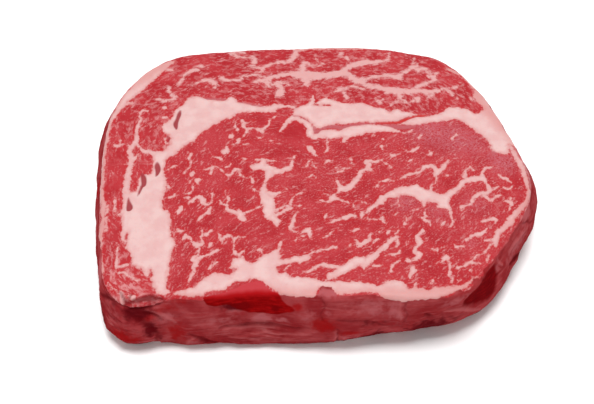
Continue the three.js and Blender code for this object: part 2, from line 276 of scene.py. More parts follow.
EYE_VEINS = [
    # the left
    [(-47, 5, 0.4), (-47.5, 2.5, 0.45), (-46.7, 1, 0.4), (-46.5, -0.5, 0.35), (-47.5, -2.5, 0.3),
     (-48.7, -4.5, 0.5)],
    [(-45.5, -3.5, 0.3), (-46, -5, 0.6), (-46.2, -6, 0.4)],
    [(-43.6, -8, 1.1), (-44, -9.5, 0.4)],
    [(-46.2, -8.5, 0.5), (-46.3, -9, 0.4)],
    [(-45.5, -11, 0.4), (-45.3, -12.5, 0.35), (-46.5, -14, 0.3), (-48, -14.2, 0.4)],
    [(-47.8, -16.5, 0.4), (-46.8, -16, 0.5)],
    [(-46.5, -19, 0.4), (-46, -18, 0.5), (-45, -17.5, 0.6), (-43.8, -16.2, 0.8), (-42.5, -16, 0.8),
     (-41.5, -17, 1), (-41, -18.8, 0.9), (-39.7, -19.5, 0.5), (-38.5, -18.5, 0.3), (-38, -16, 0.3),
     (-38.5, -14, 0.3)],
    [(-42, -26, 0.6), (-41.3, -24.8, 0.5), (-40, -23.5, 0.6), (-39, -22.5, 0.7),
     (-38.5, -20.5, 0.3)],
    [(-41.3, -21.8, 0.3), (-40.5, -20.5, 0.3)],
    [(-48.7, -20.5, 0.5), (-49.3, -22, 0.9), (-50, -23.5, 0.6)],
    [(-54.5, -10.5, 0.3), (-53.5, -11.5, 0.5), (-54, -13, 0.3)],
    [(-53.5, -16, 0.4), (-52, -16, 0.4), (-51.5, -14.5, 0.4)],
    [(-54.5, -2.5, 0.4), (-53, -1.5, 0.4), (-51.5, -1, 0.3)],
    [(-33.3, -12.5, 0.3), (-33.4, -14, 0.3), (-32.3, -16.5, 0.35), (-32.5, -18.5, 0.45),
     (-32.8, -20, 0.4), (-32.3, -21.5, 0.7), (-30.5, -22.5, 0.8), (-28.5, -23, 1.2),
     (-27.5, -24.5, 1.3), (-27, -25.5, 1), (-26, -25.8, 0.4)],
    [(-28.3, -22, 0.5), (-28.3, -21, 0.3)],
    [(-35.5, -17.5, 0.3), (-34.5, -18.8, 0.4), (-33.5, -19.3, 0.5)],
    [(-26.5, -23, 0.5), (-24.5, -22.2, 0.3), (-22.5, -21, 0.35), (-20, -19.5, 0.4)],
    [(-38.5, 3.5, 0.5), (-37, 3, 0.4), (-36, 3, 0.7), (-35.7, 2.3, 0.5)],
    [(-34, 9, 0.3), (-33.8, 7.5, 0.7), (-34, 6.3, 1.2), (-35.5, 6, 0.5)],
    [(-33.5, -5.2, 0.4), (-32.3, -5.3, 0.5), (-31.3, -4.3, 0.4), (-30.5, -3, 0.6),
     (-29.3, -2.7, 0.6), (-28.8, -4, 0.5), (-28.3, -5.5, 0.5), (-27.3, -5.8, 0.3)],
    [(-42, -3, 0.35), (-40, -2.3, 0.3), (-39, -1.5, 0.35), (-38.8, -3.5, 0.5), (-39.3, -4.5, 0.5)],
    [(-38.7, -1.5, 0.3), (-37, -1.5, 0.3), (-34.5, -3.5, 0.3)],
    [(-34, -1.2, 0.4), (-32.7, -0.8, 0.4), (-32, 0, 0.25)],
    [(-28, 3, 0.4), (-26.5, 2.5, 0.3)],
    [(-26.3, -6.8, 0.25), (-25, -6.3, 0.3), (-24.3, -6, 0.5), (-24, -7.5, 0.5), (-24, -8.7, 0.5)],
    [(-23.2, -12, 0.6), (-23, -12.6, 0.5)],
    [(-31.5, 22, 0.3), (-31.2, 20, 0.35), (-31, 18.5, 0.6), (-30.5, 17, 0.7)],
    [(-28.7, 22.5, 0.3), (-28.3, 21, 0.6), (-27.8, 19.5, 0.5), (-27.3, 18, 0.5),
     (-26.5, 17.2, 0.9), (-27, 15.5, 0.6), (-27.5, 14, 0.35), (-28.5, 12.8, 0.25), (-30, 12, 0.35)],
    [(-26, 17.8, 0.5), (-24, 18.2, 0.35), (-23.3, 18, 0.3), (-22.2, 17.3, 0.6), (-21.3, 16.8, 0.6),
     (-20.8, 15.5, 0.25)],
    [(-20.8, 17.5, 0.4), (-19.5, 18.8, 0.35), (-18.5, 20, 0.3), (-18.3, 22, 0.35),
     (-17, 23.5, 0.25), (-15.7, 24.8, 0.25)],
    [(-27.5, 20.7, 0.3), (-24.5, 22, 0.3)],
    [(-32.3, 13.7, 0.8), (-32.1, 14.2, 0.6)],
    [(-30, 11.5, 0.6), (-29.5, 10.8, 0.7), (-30.8, 10.3, 0.4), (-31.5, 9.5, 0.3)],
    [(-28, 10, 0.3), (-26.5, 9.7, 0.4), (-25.7, 10.3, 0.3)],
    [(-21.7, 13, 0.4), (-21.3, 13.2, 0.4)],
    [(-18, 11.3, 0.3), (-16.8, 11.5, 0.3)],
    # the front left
    [(-46.5, -32.5, 0.4), (-47, -34, 0.6), (-47.8, -35, 0.4)],
    [(-46.5, -34, 0.4), (-45, -34, 0.5), (-44.5, -35.5, 0.5), (-42.5, -37, 1), (-41.3, -37, 0.9),
     (-40.3, -36, 0.4)],
    [(-41, -36.5, 0.5), (-41, -34, 0.4), (-41, -31, 0.4)],
    [(-41.7, -38, 0.4), (-42, -41, 0.4), (-43.5, -42.5, 1), (-42.5, -44, 1), (-43, -46.5, 0.6),
     (-43.5, -49, 0.6), (-44.5, -51, 0.4), (-45, -53, 0.3)],
    [(-42, -42.5, 0.8), (-40, -42, 0.5), (-38, -41, 0.5), (-37, -40, 0.4), (-35.5, -39.3, 0.6)],
    [(-39.5, -33, 0.6), (-38.8, -32, 0.6), (-38, -31, 0.4)],
    [(-35.3, -31.5, 0.3), (-34.8, -33, 0.3), (-34.5, -35, 0.5), (-34, -36.5, 0.35)],
    [(-34.5, -35, 0.5), (-33, -33.8, 0.6), (-31.2, -33.3, 0.5)],
    [(-30, -33.7, 0.5), (-29.5, -34.3, 0.5), (-28.5, -33.3, 0.3)],
    [(-29.8, -35, 0.3), (-29.6, -39, 0.3), (-29.5, -40, 0.6), (-29, -41.5, 0.4)],
    [(-28, -34.2, 0.3), (-25.8, -33.9, 0.2)],
    [(-38.5, -38.5, 0.4), (-37.3, -36.3, 0.4)],
    [(-37.8, -47, 0.5), (-37, -45.3, 0.4), (-35.5, -44, 0.25)],
    [(-21.5, -39.5, 0.5), (-20.5, -39, 0.4), (-19.5, -41.5, 0.25)],
    [(-28, -41.5, 0.4), (-26.5, -40, 0.3)],
    [(-49.5, -31, 0.8), (-48.5, -31, 0.6), (-47, -30.7, 0.3)],
    # the middle
    [(-7, -20.3, 0.5), (-6.6, -20.1, 0.4)],
    [(-8, -23, 0.3), (-9, -25, 0.5), (-9.3, -27, 0.9), (-10, -29, 0.7), (-10.5, -30.5, 0.5),
     (-9, -31.2, 0.3), (-7, -31.8, 0.25)],
    [(-4.3, 8.7, 0.4), (-3.3, 8, 1), (-2.5, 6.5, 1), (-1.8, 5, 0.6), (-1, 3.8, 0.6)],
    [(2.5, 0.5, 0.5), (3.5, 1.2, 0.7), (4.7, 1.2, 0.5)],
    [(-4, -6.3, 0.2), (-2.8, -6, 0.6), (-2.3, -5.5, 0.4), (-1.2, -7, 0.3)],
    [(-4.8, -1, 0.35), (-4, 0.3, 0.3), (-3, 1.5, 0.25), (-2.3, 0.3, 0.3), (-1.8, -1, 0.35),
     (-1.3, -2, 0.3)],
    [(6, -2, 0.3), (8, -2.3, 0.25), (10, -2.5, 0.3), (12, -1.8, 0.25), (12.8, -1.2, 0.3)],
    [(7, -4, 0.4), (8, -3.8, 0.5), (8.8, -3, 0.3)],
    [(11.5, 2.5, 0.3), (12, 0, 0.4)],
    [(-12.3, -12, 0.4), (-12, -12.2, 0.4)],
    [(6, -7.5, 0.35), (6.5, -9, 0.5), (7.2, -10.5, 0.5), (7.2, -12.5, 0.9), (6.8, -13.8, 0.5)],
    [(7.5, -12.3, 1.2), (9.5, -12, 1.5), (11.5, -10.7, 1.2), (13, -9, 1.1), (14.3, -6.5, 0.8),
     (15.3, -4.3, 0.8), (16, -3.2, 0.7), (17.5, -2.6, 0.7), (18, -0.5, 0.9), (17.2, 0.8, 0.9),
     (18.5, 1, 0.8), (20, 0.6, 0.8), (22, 1.5, 0.6), (22.8, 1.9, 0.4)],
    [(18.4, -2.5, 0.5), (19.3, -4.3, 0.3)],
    [(0, -17.5, 0.5), (1.5, -17.8, 0.5), (3, -18.3, 0.4), (4, -17.3, 0.7), (5, -16.3, 1.1),
     (5.2, -15, 0.6)],
    [(6, -16.8, 0.5), (8, -17.5, 0.35), (9.5, -18.3, 0.4), (10.5, -19, 0.3)],
    [(0.3, -14, 0.25), (3.5, -15, 0.2)],
    [(2, -23.5, 0.3), (2.2, -24.5, 0.5), (1.8, -26, 0.35)],
    [(3, -27.7, 0.25), (5, -26.8, 0.5), (7, -26.3, 0.4), (9, -25.5, 0.8), (10.5, -24.8, 1),
     (12.3, -24.7, 0.4)],
    [(12, -19.5, 0.3), (12.5, -21.5, 0.25)],
    [(14.5, -18.2, 0.3), (16.5, -19.3, 0.25)],
    [(15, -23.5, 0.6), (14.8, -25.5, 0.4)],
    [(-6, -31.5, 0.4), (-5, -31.2, 0.9), (-4, -31, 1.2), (-3.5, -32.5, 0.8), (-3.3, -34, 0.4)],
    [(-8.5, -35.5, 0.4), (-7.5, -34.5, 0.4), (-6, -33.5, 0.3)],
    [(1, -34.3, 0.25), (3, -33, 0.3), (5, -31, 0.3)],
    [(-4, -41.8, 0.25), (-2.5, -41, 0.3), (0, -39.8, 0.35), (2, -39.7, 0.3), (3.8, -38.6, 0.4),
     (5.3, -38.5, 0.5)],
    [(12.3, -35.5, 0.6), (13.3, -37, 0.8), (14.5, -37.3, 0.8), (16, -36, 0.8), (17, -35.2, 0.6),
     (17, -33.8, 0.3), (18, -32.8, 0.4)],
    [(12.8, -38.4, 0.4), (14, -38.5, 0.5)],
    [(10, -38, 0.4), (10.7, -37, 0.3)],
    [(11, -31.7, 0.3), (12.3, -31, 0.5), (13.5, -30.3, 0.3)],
    # the front right
    [(36, -31, 0.7), (35, -32.5, 0.6), (33.7, -33.3, 0.7), (33.5, -34.5, 0.9), (34.5, -36, 1.2),
     (34, -37.5, 0.6), (33, -38.5, 0.4), (32.5, -39.8, 0.6), (32.7, -41, 0.5), (34, -41.2, 1),
     (33.5, -42.7, 0.8), (31.5, -44, 0.4), (30, -44, 0.7)],
    [(32, -47, 0.5), (31.5, -48.3, 1), (30.5, -50, 0.6), (30.3, -51.5, 0.3)],
    [(24, -49, 0.5), (24, -47.5, 0.5), (25.5, -45.5, 0.3), (27, -44, 0.25)],
    [(17, -46.4, 0.3), (21.5, -46.3, 0.3)],
    [(22.5, -42.5, 0.3), (23.5, -41.5, 0.4), (25, -41.7, 0.5), (26.7, -41.5, 0.5), (27.3, -40, 0.3)],
    [(18.5, -36.7, 0.4), (19, -35.5, 0.4), (20.5, -34.8, 0.25)],
    [(20.8, -31.7, 0.4), (21.3, -31.5, 0.4)],
    [(23.5, -32, 0.4), (24.5, -31, 0.3)],
    [(26.3, -32.3, 0.4), (27.5, -31.2, 0.3)],
    [(30, -37.5, 0.3), (31, -36, 0.3)],
    [(38.5, -39, 0.3), (40, -39.7, 0.35), (41, -38.5, 0.3), (43, -38.3, 0.25)],
    [(42.5, -43, 0.9), (43.7, -42.3, 0.8), (43.9, -44, 0.5), (44.8, -44.8, 0.2)],
    [(40, -45.3, 0.25), (42, -44.5, 0.25)],
    [(44.5, -46, 0.5), (43.8, -47.5, 0.35), (44, -49, 0.6), (43.8, -50.5, 0.3), (44.5, -52, 0.4),
     (44.3, -53, 0.5)],
    [(46.5, -47.5, 0.4), (47.5, -46.5, 0.5), (49, -46, 0.4), (50, -45.5, 0.6), (51.5, -44.5, 0.7),
     (53, -44.5, 0.5), (55, -45, 0.3)],
    [(51.5, -44.3, 0.4), (53, -43, 0.3), (54.5, -41, 0.3)],
    [(51.3, -47.8, 0.5), (51.7, -47.7, 0.4)],
    [(46.8, -52.5, 0.5), (47.3, -52.2, 0.4)],
    [(38, -52.5, 0.5), (37.3, -54, 0.3)],
    [(46.5, -37, 0.3), (47, -38, 0.4), (50, -37.7, 0.3)],
    [(50.5, -35, 0.4), (52, -34.3, 0.5), (53.5, -33, 0.7), (55.5, -32.5, 0.8), (57, -31.8, 0.8),
     (58, -30.3, 0.5)],
    [(56, -41, 0.3), (58, -38.5, 0.3), (59.5, -36.5, 0.3)],
    # the right, with the branches of the big arc
    [(57, -27, 0.5), (58.5, -26.5, 0.6), (60.5, -25.9, 0.7), (61.8, -26.2, 0.5), (61.3, -27.3, 0.4)],
    [(43.5, -27.3, 0.5), (43, -28.3, 0.5), (42.2, -29.5, 0.3)],
    [(40, -13, 0.5), (40.3, -10.2, 0.35)],
    [(46, -21.5, 0.7), (46.2, -24.5, 0.4), (46.5, -27, 0.4), (45.8, -29.3, 0.3)],
    [(60.5, -10.5, 0.8), (61, -12.5, 0.9), (59.5, -14, 0.8), (57, -14.2, 0.8), (55.5, -15.3, 0.9),
     (54.5, -17, 0.7), (53.5, -19, 0.6), (51.5, -20, 0.4), (50.3, -20.6, 0.8), (50, -22, 0.4)],
    [(58.5, -15, 0.8), (60, -16.5, 0.7), (61, -17.3, 0.6), (62.5, -15.8, 0.5), (64.5, -15, 0.5)],
    [(66, -17.5, 0.3), (67.3, -17.8, 0.4), (68, -16, 0.5)],
    [(68, -18, 0.9), (67.5, -20, 0.4), (67.2, -22, 0.2)],
    [(46.5, -14, 1), (49.5, -12, 0.9), (51, -9.8, 1.2), (52.5, -8.3, 1.3), (55, -7.3, 1.4),
     (57.5, -7, 1.3), (59, -7.3, 1.2), (59.5, -8.5, 0.8), (60, -10.5, 0.6)],
    [(52.2, -6, 0.7), (53, -4, 0.6), (53.7, -2.5, 0.4), (54.5, -1.3, 0.3)],
    [(55, -2, 0.3), (56, -3, 0.3)],
    [(58.5, -6, 0.8), (59.3, -4, 0.5), (60, -2.5, 0.5), (61.5, -1.7, 0.4), (63, -1.2, 0.3)],
    [(62, -12.5, 0.4), (63.5, -11, 0.3), (64.5, -10.3, 0.3)],
    [(64.8, -5.5, 0.35), (66, -6.3, 0.6), (67.3, -6.8, 0.6), (68, -8, 0.5), (69, -8.7, 0.3)],
    [(66, -11, 0.3), (67.5, -12, 0.3), (69, -10.5, 0.3)],
    [(29.5, -7.3, 0.4), (31, -6, 0.6), (33, -5, 0.4), (35, -4.7, 0.5), (36.5, -4, 0.6),
     (37.5, -2.5, 0.7), (38.7, -1.5, 0.8), (40.5, -1.3, 0.8), (42, -2, 1), (43, -3.3, 1.1),
     (44.5, -2.5, 0.9), (45.5, -1, 0.7), (46.5, 0.5, 0.6), (47.3, 1.8, 0.4)],
    [(42.8, -4, 1), (42, -6, 0.6), (42, -7.5, 0.3), (41.5, -10, 0.3)],
    [(23.5, 0.5, 0.3), (25, -0.5, 0.35), (26.5, -2.3, 0.3)],
    [(21.5, -9, 0.4), (23, -8.7, 0.6), (24.5, -8, 0.6), (25.5, -8.3, 0.5), (27, -8.8, 0.3)],
    [(20.3, -11.7, 0.35), (21, -10.5, 0.35)],
    [(28, -16.5, 0.35), (27.8, -18.5, 0.3), (28.3, -19.8, 0.35)],
    [(16.5, -25, 0.3), (17, -26, 0.25), (19, -26.3, 0.25), (21.5, -26.3, 0.4), (22, -25.3, 0.5)],
    [(22, -26.3, 0.4), (22.5, -27.3, 0.3), (23.3, -28.5, 0.2)],
    [(37, -23, 0.4), (37, -25, 0.4), (35.7, -25.3, 0.3)],
    [(37.2, -26.5, 0.8), (38, -27.5, 0.5), (38.8, -29, 0.3)],
    [(29.5, -29, 0.3), (30.5, -25, 0.25)],
    [(33, -22, 0.4), (34.5, -21.5, 0.4)],
    [(26.5, -24.3, 0.3), (27.5, -23, 0.3)],
    [(45.5, -6.3, 0.4), (46.3, -5.7, 0.4)],
    [(49.2, 12, 0.5), (50, 13.6, 0.7), (51, 15, 0.45)],
    [(37.3, 13, 0.7), (38, 14, 0.3)],
    [(23, 8.5, 0.5), (23.3, 7, 0.25)],
    [(23.8, 12, 0.4), (24.2, 12.1, 0.4)],
    [(20.3, 14.5, 0.5), (20.8, 14.6, 0.4)],
    [(29.5, 7.5, 0.25), (31, 7, 0.25), (33.3, 6, 0.5), (35, 6.5, 0.8), (36.5, 7.8, 0.6),
     (37, 8.3, 0.3)],
    [(26, 4.5, 0.4), (27, 4, 0.6), (28, 4.5, 0.4), (29.3, 4.5, 0.3)],
    [(26.6, 3.5, 0.5), (26.3, 2.3, 0.3)],
    [(40.5, 6.3, 0.4), (41, 4.7, 0.6), (40.3, 4.3, 0.3)],
    [(34, 2, 0.3), (32.5, 1, 0.25)],
]

# Lean that shows inside the fat
LEAN_ISLANDS = [
    [(-63.3, 2.5, 2.9), (-63.3, -1.5, 2.8), (-65.5, -5.5, 1.3), (-66.6, -9, 1), (-66.6, -12.6, 0.8)],
    [(-67.4, -31.7, 0.35), (-67.4, -36.5, 0.4)],
    [(-58, -46, 0.3), (-57.3, -48.3, 0.5)],
    [(-34, -47.8, 0.5), (-30, -47.6, 0.7), (-28.7, -47, 0.2)],
    [(-1.5, 30.3, 0.3), (0.8, 30.3, 0.2)],
    [(1.8, 30.2, 0.3), (4.3, 30, 0.35)],
]

# Cut vessels, the mauve lines along the sheet of fat, folds at the drooping corner darkened with
# painted shade, and the red cleft beside the sheet
VESSELS = [
    [(-52, 27, 0.4), (-52.3, 25, 0.8), (-52.8, 22.5, 0.7), (-53.3, 20.5, 0.9), (-53.2, 19, 0.8),
     (-52.8, 17.3, 0.3)],
    [(-58.8, 0.7, 0.3), (-58.7, -1, 1), (-58.3, -3, 1), (-58.5, -5, 0.6), (-58.8, -6, 0.3)],
    [(-64, -4.8, 0.5), (-63.2, -7, 1), (-62.9, -10, 0.9), (-63.5, -11, 0.6), (-64.2, -13.5, 0.45),
     (-64.7, -15.5, 0.2)],
    [(-68, -16, 0.2), (-67.7, -18, 0.6), (-67.2, -20.5, 1.2), (-67.5, -21.5, 0.8)],
    [(-56, 14, 0.3), (-55.5, 12.5, 0.4), (-55.8, 11, 0.3)],
]
MAUVE_LINES = [
    [(-9.3, 24.3, 0.3), (-7, 24.3, 0.3), (-5, 23, 0.3), (-3.5, 21.5, 0.25)],
    [(-1.8, 19, 0.3), (-1.3, 17, 0.8), (-0.7, 16, 0.8), (0.3, 17, 0.6), (2.5, 18.3, 0.6),
     (5, 18.8, 0.8), (7.5, 18.5, 0.9), (8, 17.3, 0.4)],
    [(8.5, 18, 0.7), (10, 18.8, 0.7), (12, 19.3, 0.6), (15, 19.8, 0.5), (20, 20.2, 0.3),
     (23, 19.5, 0.3), (27, 18.8, 0.7), (30, 18.2, 1), (33, 18.3, 0.9), (36, 18.5, 0.5)],
    [(-42, 33.5, 0.7), (-35.5, 33, 0.6)],
    [(-30.5, 31.6, 0.3), (-27, 30.8, 0.4), (-24, 30, 0.4), (-21, 29.3, 0.35)],
    [(64, 5.9, 0.9), (64, 5.2, 0.9)],
]
FOLDS = [
    [(-68.5, -53, 0.2), (-67, -55, 0.5), (-65, -58, 0.8), (-62, -57.7, 1), (-58, -56.8, 1.4),
     (-55.5, -57, 1), (-52.5, -57.5, 0.4)],
    [(-64.5, -57, 0.3), (-63.7, -54.8, 0.3)],
]
CLEFT = [
    [(22, 20.8, 0.2), (27, 20.6, 0.4), (30, 21, 0.5), (31.5, 21.7, 0.6), (33.5, 22.6, 0.5),
     (35, 23.3, 0.35), (37, 24, 0.4), (38.5, 24.3, 0.6), (40.5, 24.5, 0.35)],
]

# The eye muscle's outline: the cap muscle is what lies outside it
EYE_OUTLINE = [
    (-56, 1), (-55.5, -17), (-52, -27), (-50.5, -39), (-52, -57), (-38, -58), (-10, -60), (20, -62),
    (50, -60), (62, -40), (72, -20), (74, 0), (70, 10), (62, 20), (52, 25), (40, 22), (28, 19.5),
    (12, 18.5), (0, 16), (-4, 21), (-9, 24.5), (-13, 28), (-28, 26), (-38, 20.5), (-47, 10.5),
]

# Which way the fibres of the eye run: (x, y, degrees from +X)
GRAIN = [
    (-45, 10, 62), (-40, -10, 60), (-45, -35, 62), (-30, 15, 50), (-30, -10, 55), (-32, -40, 50),
    (-18, 22, -5), (-20, 5, 25), (-8, 12, -18), (-6, -15, 15), (0, 0, -5), (10, 5, 30), (0, -30, 25),
    (-10, -38, 25), (15, -45, 28), (25, -20, 40), (38, -24, 52), (48, -30, 50), (30, 0, 38),
    (45, 10, 40), (60, -5, 45), (60, -20, 55), (40, -45, 40),
]

# How much fine fat shows between the fibres, from 0 to 1: (x, y, radius, amount)
CAP_HAZE = 0.55
EYE_HAZE = 0.24
HAZES = [
    (0, -7, 15, 0.45), (28, 4, 12, 0.4),
    (66, 0, 9, 0.8), (58, -18, 9, 0.6), (31, -18, 6, 0.6), (41, -20, 5, 0.6), (55, 10, 14, 0.5),
    (35, 14, 12, 0.4), (53, -36, 8, 0.5), (-66, -50, 11, 0.9), (-8, 16, 7, 0.05), (-20, 21, 5, 0.1),
    (-73, 5, 8, 0.12), (-72, -10, 8, 0.08), (-72, -28, 7, 0.15), (70, -8, 4, 0.1), (52, 48, 9, 0.3),
    (-42, 50, 12, 0.35), (-60, 40, 7, 0.35), (60, 32, 8, 0.3),
]

# Where the eye is veiled in mauve: (x, y, radius, amount)
BLOOMS = [
    (41, 16, 7, 1.0), (50, 13, 7, 1.0), (57, 10, 5, 0.8), (67, 1, 5, 1.0), (30, -18, 5, 0.7),
    (42, -23, 5, 0.5), (55, -19, 5, 0.5), (52, -36.5, 2, 0.5), (64, 5, 2.5, 0.9),
]

# ---------------------------------------------------------------------------------------------
# The side, unrolled: millimetres round the outline from the -X end, counter-clockwise, and height
# ---------------------------------------------------------------------------------------------
# Where the look of the cut face gives way to that of the side
LIP = [
    (0, 27.5), (40, 26.5), (48, 25), (52, 24), (66, 24), (72, 25.2), (78, 26), (92, 27), (100, 28),
    (118, 27.8), (126, 27.8), (132, 28.3), (133.5, 30), (134.5, 33), (138.5, 33), (140, 29.5),
    (150, 29.2), (155, 28.8), (158, 27.6), (163, 27.4), (168, 28.1), (182, 28.3), (212, 28),
    (225, 27.6), (245, 27.8), (310, 28),
]

# Muscle bared by a torn membrane
BARED = [
    (92, 28.6), (92.8, 26.2), (94.5, 24.3), (97.5, 23.3), (100, 24), (103, 22.8), (106, 21.4),
    (110, 20.4), (115, 19.9), (120, 20.2), (124.5, 21.6), (125.2, 22.8), (122, 24.6), (120.5, 26.5),
    (118.5, 28.6), (115.5, 30.5), (111, 34), (106, 34.5), (103, 32.5), (98, 30.5),
]
# A hollow in the side: dark red muscle, deepened with painted shade
HOLLOW = [
    (184, 19.5), (184.5, 23), (187, 25.5), (191, 27.5), (197, 28), (201.5, 26), (203, 21), (201.5, 15),
    (198, 11.5), (193, 13.5), (188, 16.5),
]

# Creases and ridges, as strokes of (around, height, half-width)
# The creases' colour darkens them with painted shade
CREASES = [
    [(48, 15, 0.5), (53, 19, 1.0), (58, 22.5, 0.9), (62, 24, 0.6)],
    [(50, 24.4, 0.4), (58, 23.6, 0.5), (66, 23.8, 0.8), (72, 24.4, 1.0), (77, 25.6, 0.6)],
    [(61, 29.5, 0.3), (64.5, 27, 0.6), (68, 26.3, 1.2), (72, 27.2, 1.3), (77, 28.6, 0.5)],
    [(65.5, 21, 0.8), (68.5, 19, 1.4), (72, 16, 1.2), (75.5, 13, 1.0), (77, 9.5, 0.7), (75.5, 5.5, 0.7),
     (73, 2, 0.8)],
    [(69, 22, 1.2), (74, 20.3, 0.9), (78.5, 16.8, 0.4)],
    [(89, 10.4, 0.5), (92, 8.5, 1.0), (94.5, 6, 1.2), (97, 2.4, 1.2)],
    [(99, 12.6, 0.3), (108, 12.6, 0.35), (116, 12.8, 0.4), (127, 12.4, 0.3)],
    [(134.5, 28, 0.25), (135.8, 24.5, 0.3), (134.4, 21, 0.25), (135, 18, 0.15)],
    [(140.3, 14, 0.3), (140.5, 1, 0.4)],
    [(140, 18.8, 0.4), (147, 18.2, 0.4), (152, 17.2, 0.4), (158, 13.6, 0.3)],
    [(163.8, 28, 0.2), (162.6, 24, 0.25), (163.8, 20, 0.25), (162.8, 16, 0.2)],
    [(170.5, 19, 0.5), (172, 17.8, 1.0), (173.5, 17, 0.5)],
    [(212, 16.4, 0.6), (216, 14.6, 1.4), (222, 12.5, 1.6), (229, 9.5, 1.2)],
    [(225, 25, 0.4), (229, 22, 0.5), (230.5, 19.5, 0.4), (236, 17, 0.3)],
    [(278, 24, 0.5), (290, 17, 1.0), (302, 12, 0.5)],
    [(318, 27, 0.5), (320.5, 18, 0.9), (319, 8, 0.6)],
    [(343, 15, 0.5), (358, 12.5, 1.1), (374, 15, 0.5)],
    [(398, 26, 0.5), (402, 16, 0.9), (400, 6, 0.6)],
]
# The ridges' colour lightens them with a painted highlight
RIDGES = [
    [(57, 28.8, 0.6), (61, 26.8, 0.9), (65, 24.9, 0.6)],
    [(60, 29.6, 0.4), (63.5, 28.6, 0.6), (65.5, 27.6, 0.4)],
    [(74, 22, 0.4), (79, 19, 0.6), (84, 15.8, 0.4)],
    [(70, 6.5, 0.3), (73, 5.3, 0.4), (76, 3.4, 0.3)],
    [(87.5, 3, 0.4), (88.5, 6.5, 0.6), (91, 8.6, 0.3)],
    [(100.5, 11.5, 0.3), (104, 12.3, 0.4), (107, 11.6, 0.3), (118, 11.3, 0.3)],
    [(112, 9.3, 0.3), (118, 9, 0.35), (124, 9.6, 0.3), (131, 10.3, 0.3)],
    [(103, 7.6, 0.3), (108, 6.6, 0.35), (113, 5.2, 0.3)],
    [(118, 4.5, 0.3), (124, 5.6, 0.3), (130, 6.6, 0.3)],
    [(139.5, 13, 0.3), (139.7, 6, 0.4), (139.6, 1.5, 0.3)],
    [(143, 8, 0.3), (143.4, 2.5, 0.3)],
    [(148, 8.5, 0.3), (147.6, 3.5, 0.3)],
    [(161.6, 27, 0.3), (161, 23, 0.4), (162, 18, 0.3)],
    [(178, 19, 0.6), (184, 18, 0.9), (188, 14, 0.8), (193, 10, 0.5)],
    [(204.5, 24.4, 0.3), (206, 22.4, 0.6)],
    [(214, 22.5, 0.4), (220, 22.5, 0.6), (227, 20.5, 0.4)],
    [(294, 20, 0.5), (304, 18, 0.9), (314, 20, 0.5)],
    [(328, 15, 0.5), (340, 12, 0.9), (350, 7, 0.5)],
    [(362, 20, 0.5), (378, 18, 1.0), (392, 21, 0.5)],
    [(408, 15, 0.5), (420, 13, 0.9), (430, 9, 0.5)],
]

# Soft patches of colour, listed round the outline:
# (around, height, half-length, half-height, strength, where over 1 gives a flat middle)
# Pale membrane, partly a painted sheen
PALE = [
    (18, 18, 9, 5, 0.5), (44.5, 21.5, 3.5, 5, 1.2), (60, 17, 6, 5, 0.3), (73, 5, 3, 2, 0.5),
    (79.5, 18.5, 5, 3.5, 0.65), (90, 5, 2.5, 3, 0.5), (100, 16, 8, 4, 0.4),
    (104, 21.2, 3.2, 0.8, 0.7), (113.5, 16.5, 4.2, 3.0, 1.1), (120.5, 16.5, 2.8, 2.6, 0.75),
    (130, 20, 3.5, 4, 0.45), (136.5, 30.5, 4.5, 2.0, 1.1), (137, 21.5, 2, 1.2, 0.5),
    (145, 6.5, 5, 6, 0.5), (152, 24, 8, 4.2, 0.6), (160, 22, 3.6, 6, 0.65),
    (180, 24.5, 4, 2.6, 0.65), (185, 25.5, 4, 2.4, 0.5), (203.5, 23.5, 3, 3.5, 0.5),
    (218, 21, 9, 3.5, 0.8), (227.5, 27, 3, 1.3, 1.0), (229, 25.5, 6, 3, 0.8),
    (242, 27.5, 10, 1.4, 0.8), (250, 20, 14, 9, 0.45), (275, 20, 8, 5, 0.6), (300, 14, 10, 4, 0.6),
    (325, 22, 8, 4, 0.7), (350, 11, 9, 4, 0.6), (372, 21, 8, 4, 0.7), (396, 14, 9, 4, 0.6),
    (438, 8, 7, 4, 0.5),
]
RUDDY = [
    (3, 20, 9, 7, 0.8), (66, 8.5, 7, 4.5, 0.85), (72.5, 19, 5, 3, 0.6), (80, 22, 6, 2.5, 0.6),
    (84, 9.5, 4, 7, 0.85), (84, 25.6, 6, 1.2, 0.5), (96, 3.5, 4, 3, 0.4), (126, 24, 2.4, 2.2, 0.8),
    (135, 15.5, 4.2, 3.4, 1.2), (144.5, 11.5, 6, 1.6, 0.7), (219, 25, 9, 4, 0.25),
    (292, 24, 7, 2, 0.7), (334, 8, 7, 3, 0.7), (380, 12, 6, 3, 0.7), (425, 6, 6, 3, 0.6),
    (426, 20, 16, 8, 0.75),
]
STRIATED = [
    (66, 12, 12, 9, 0.9), (100, 14, 12, 4, 0.4), (112, 8, 18, 5, 1.0), (175, 12, 8, 5, 0.5),
    (225, 20, 16, 7, 0.4), (345, 14, 75, 14, 0.9),
]
SHADED = [
    (10, 8, 8, 4, 0.5), (35, 12, 7, 4, 0.5), (52, 9, 7, 7, 0.5), (57, 21.5, 5, 2, 0.5),
    (69, 21, 5, 3.6, 1.4), (70.5, 26, 5, 1.6, 1.1), (75, 13, 2.6, 4, 1.0), (77.5, 6, 1.6, 5, 0.5),
    (94, 5.5, 2.6, 3, 0.65), (105, 23, 6, 1.8, 1.2), (119, 22.4, 5, 1.6, 0.6),
    (128, 2.5, 9, 2, 0.4), (152, 16.6, 7, 2.0, 0.5), (155, 6, 6, 6, 0.8), (173, 10, 10, 6, 0.95),
    (174, 3, 11, 3, 1.1), (217, 15.5, 7, 3, 0.55), (225, 6, 9, 3.5, 0.7), (285, 10, 9, 4, 0.55),
    (312, 22, 8, 3, 0.5), (340, 18, 9, 3, 0.55), (362, 5, 12, 3, 0.6), (386, 24, 8, 2.5, 0.5),
    (406, 8, 9, 4, 0.55),
]

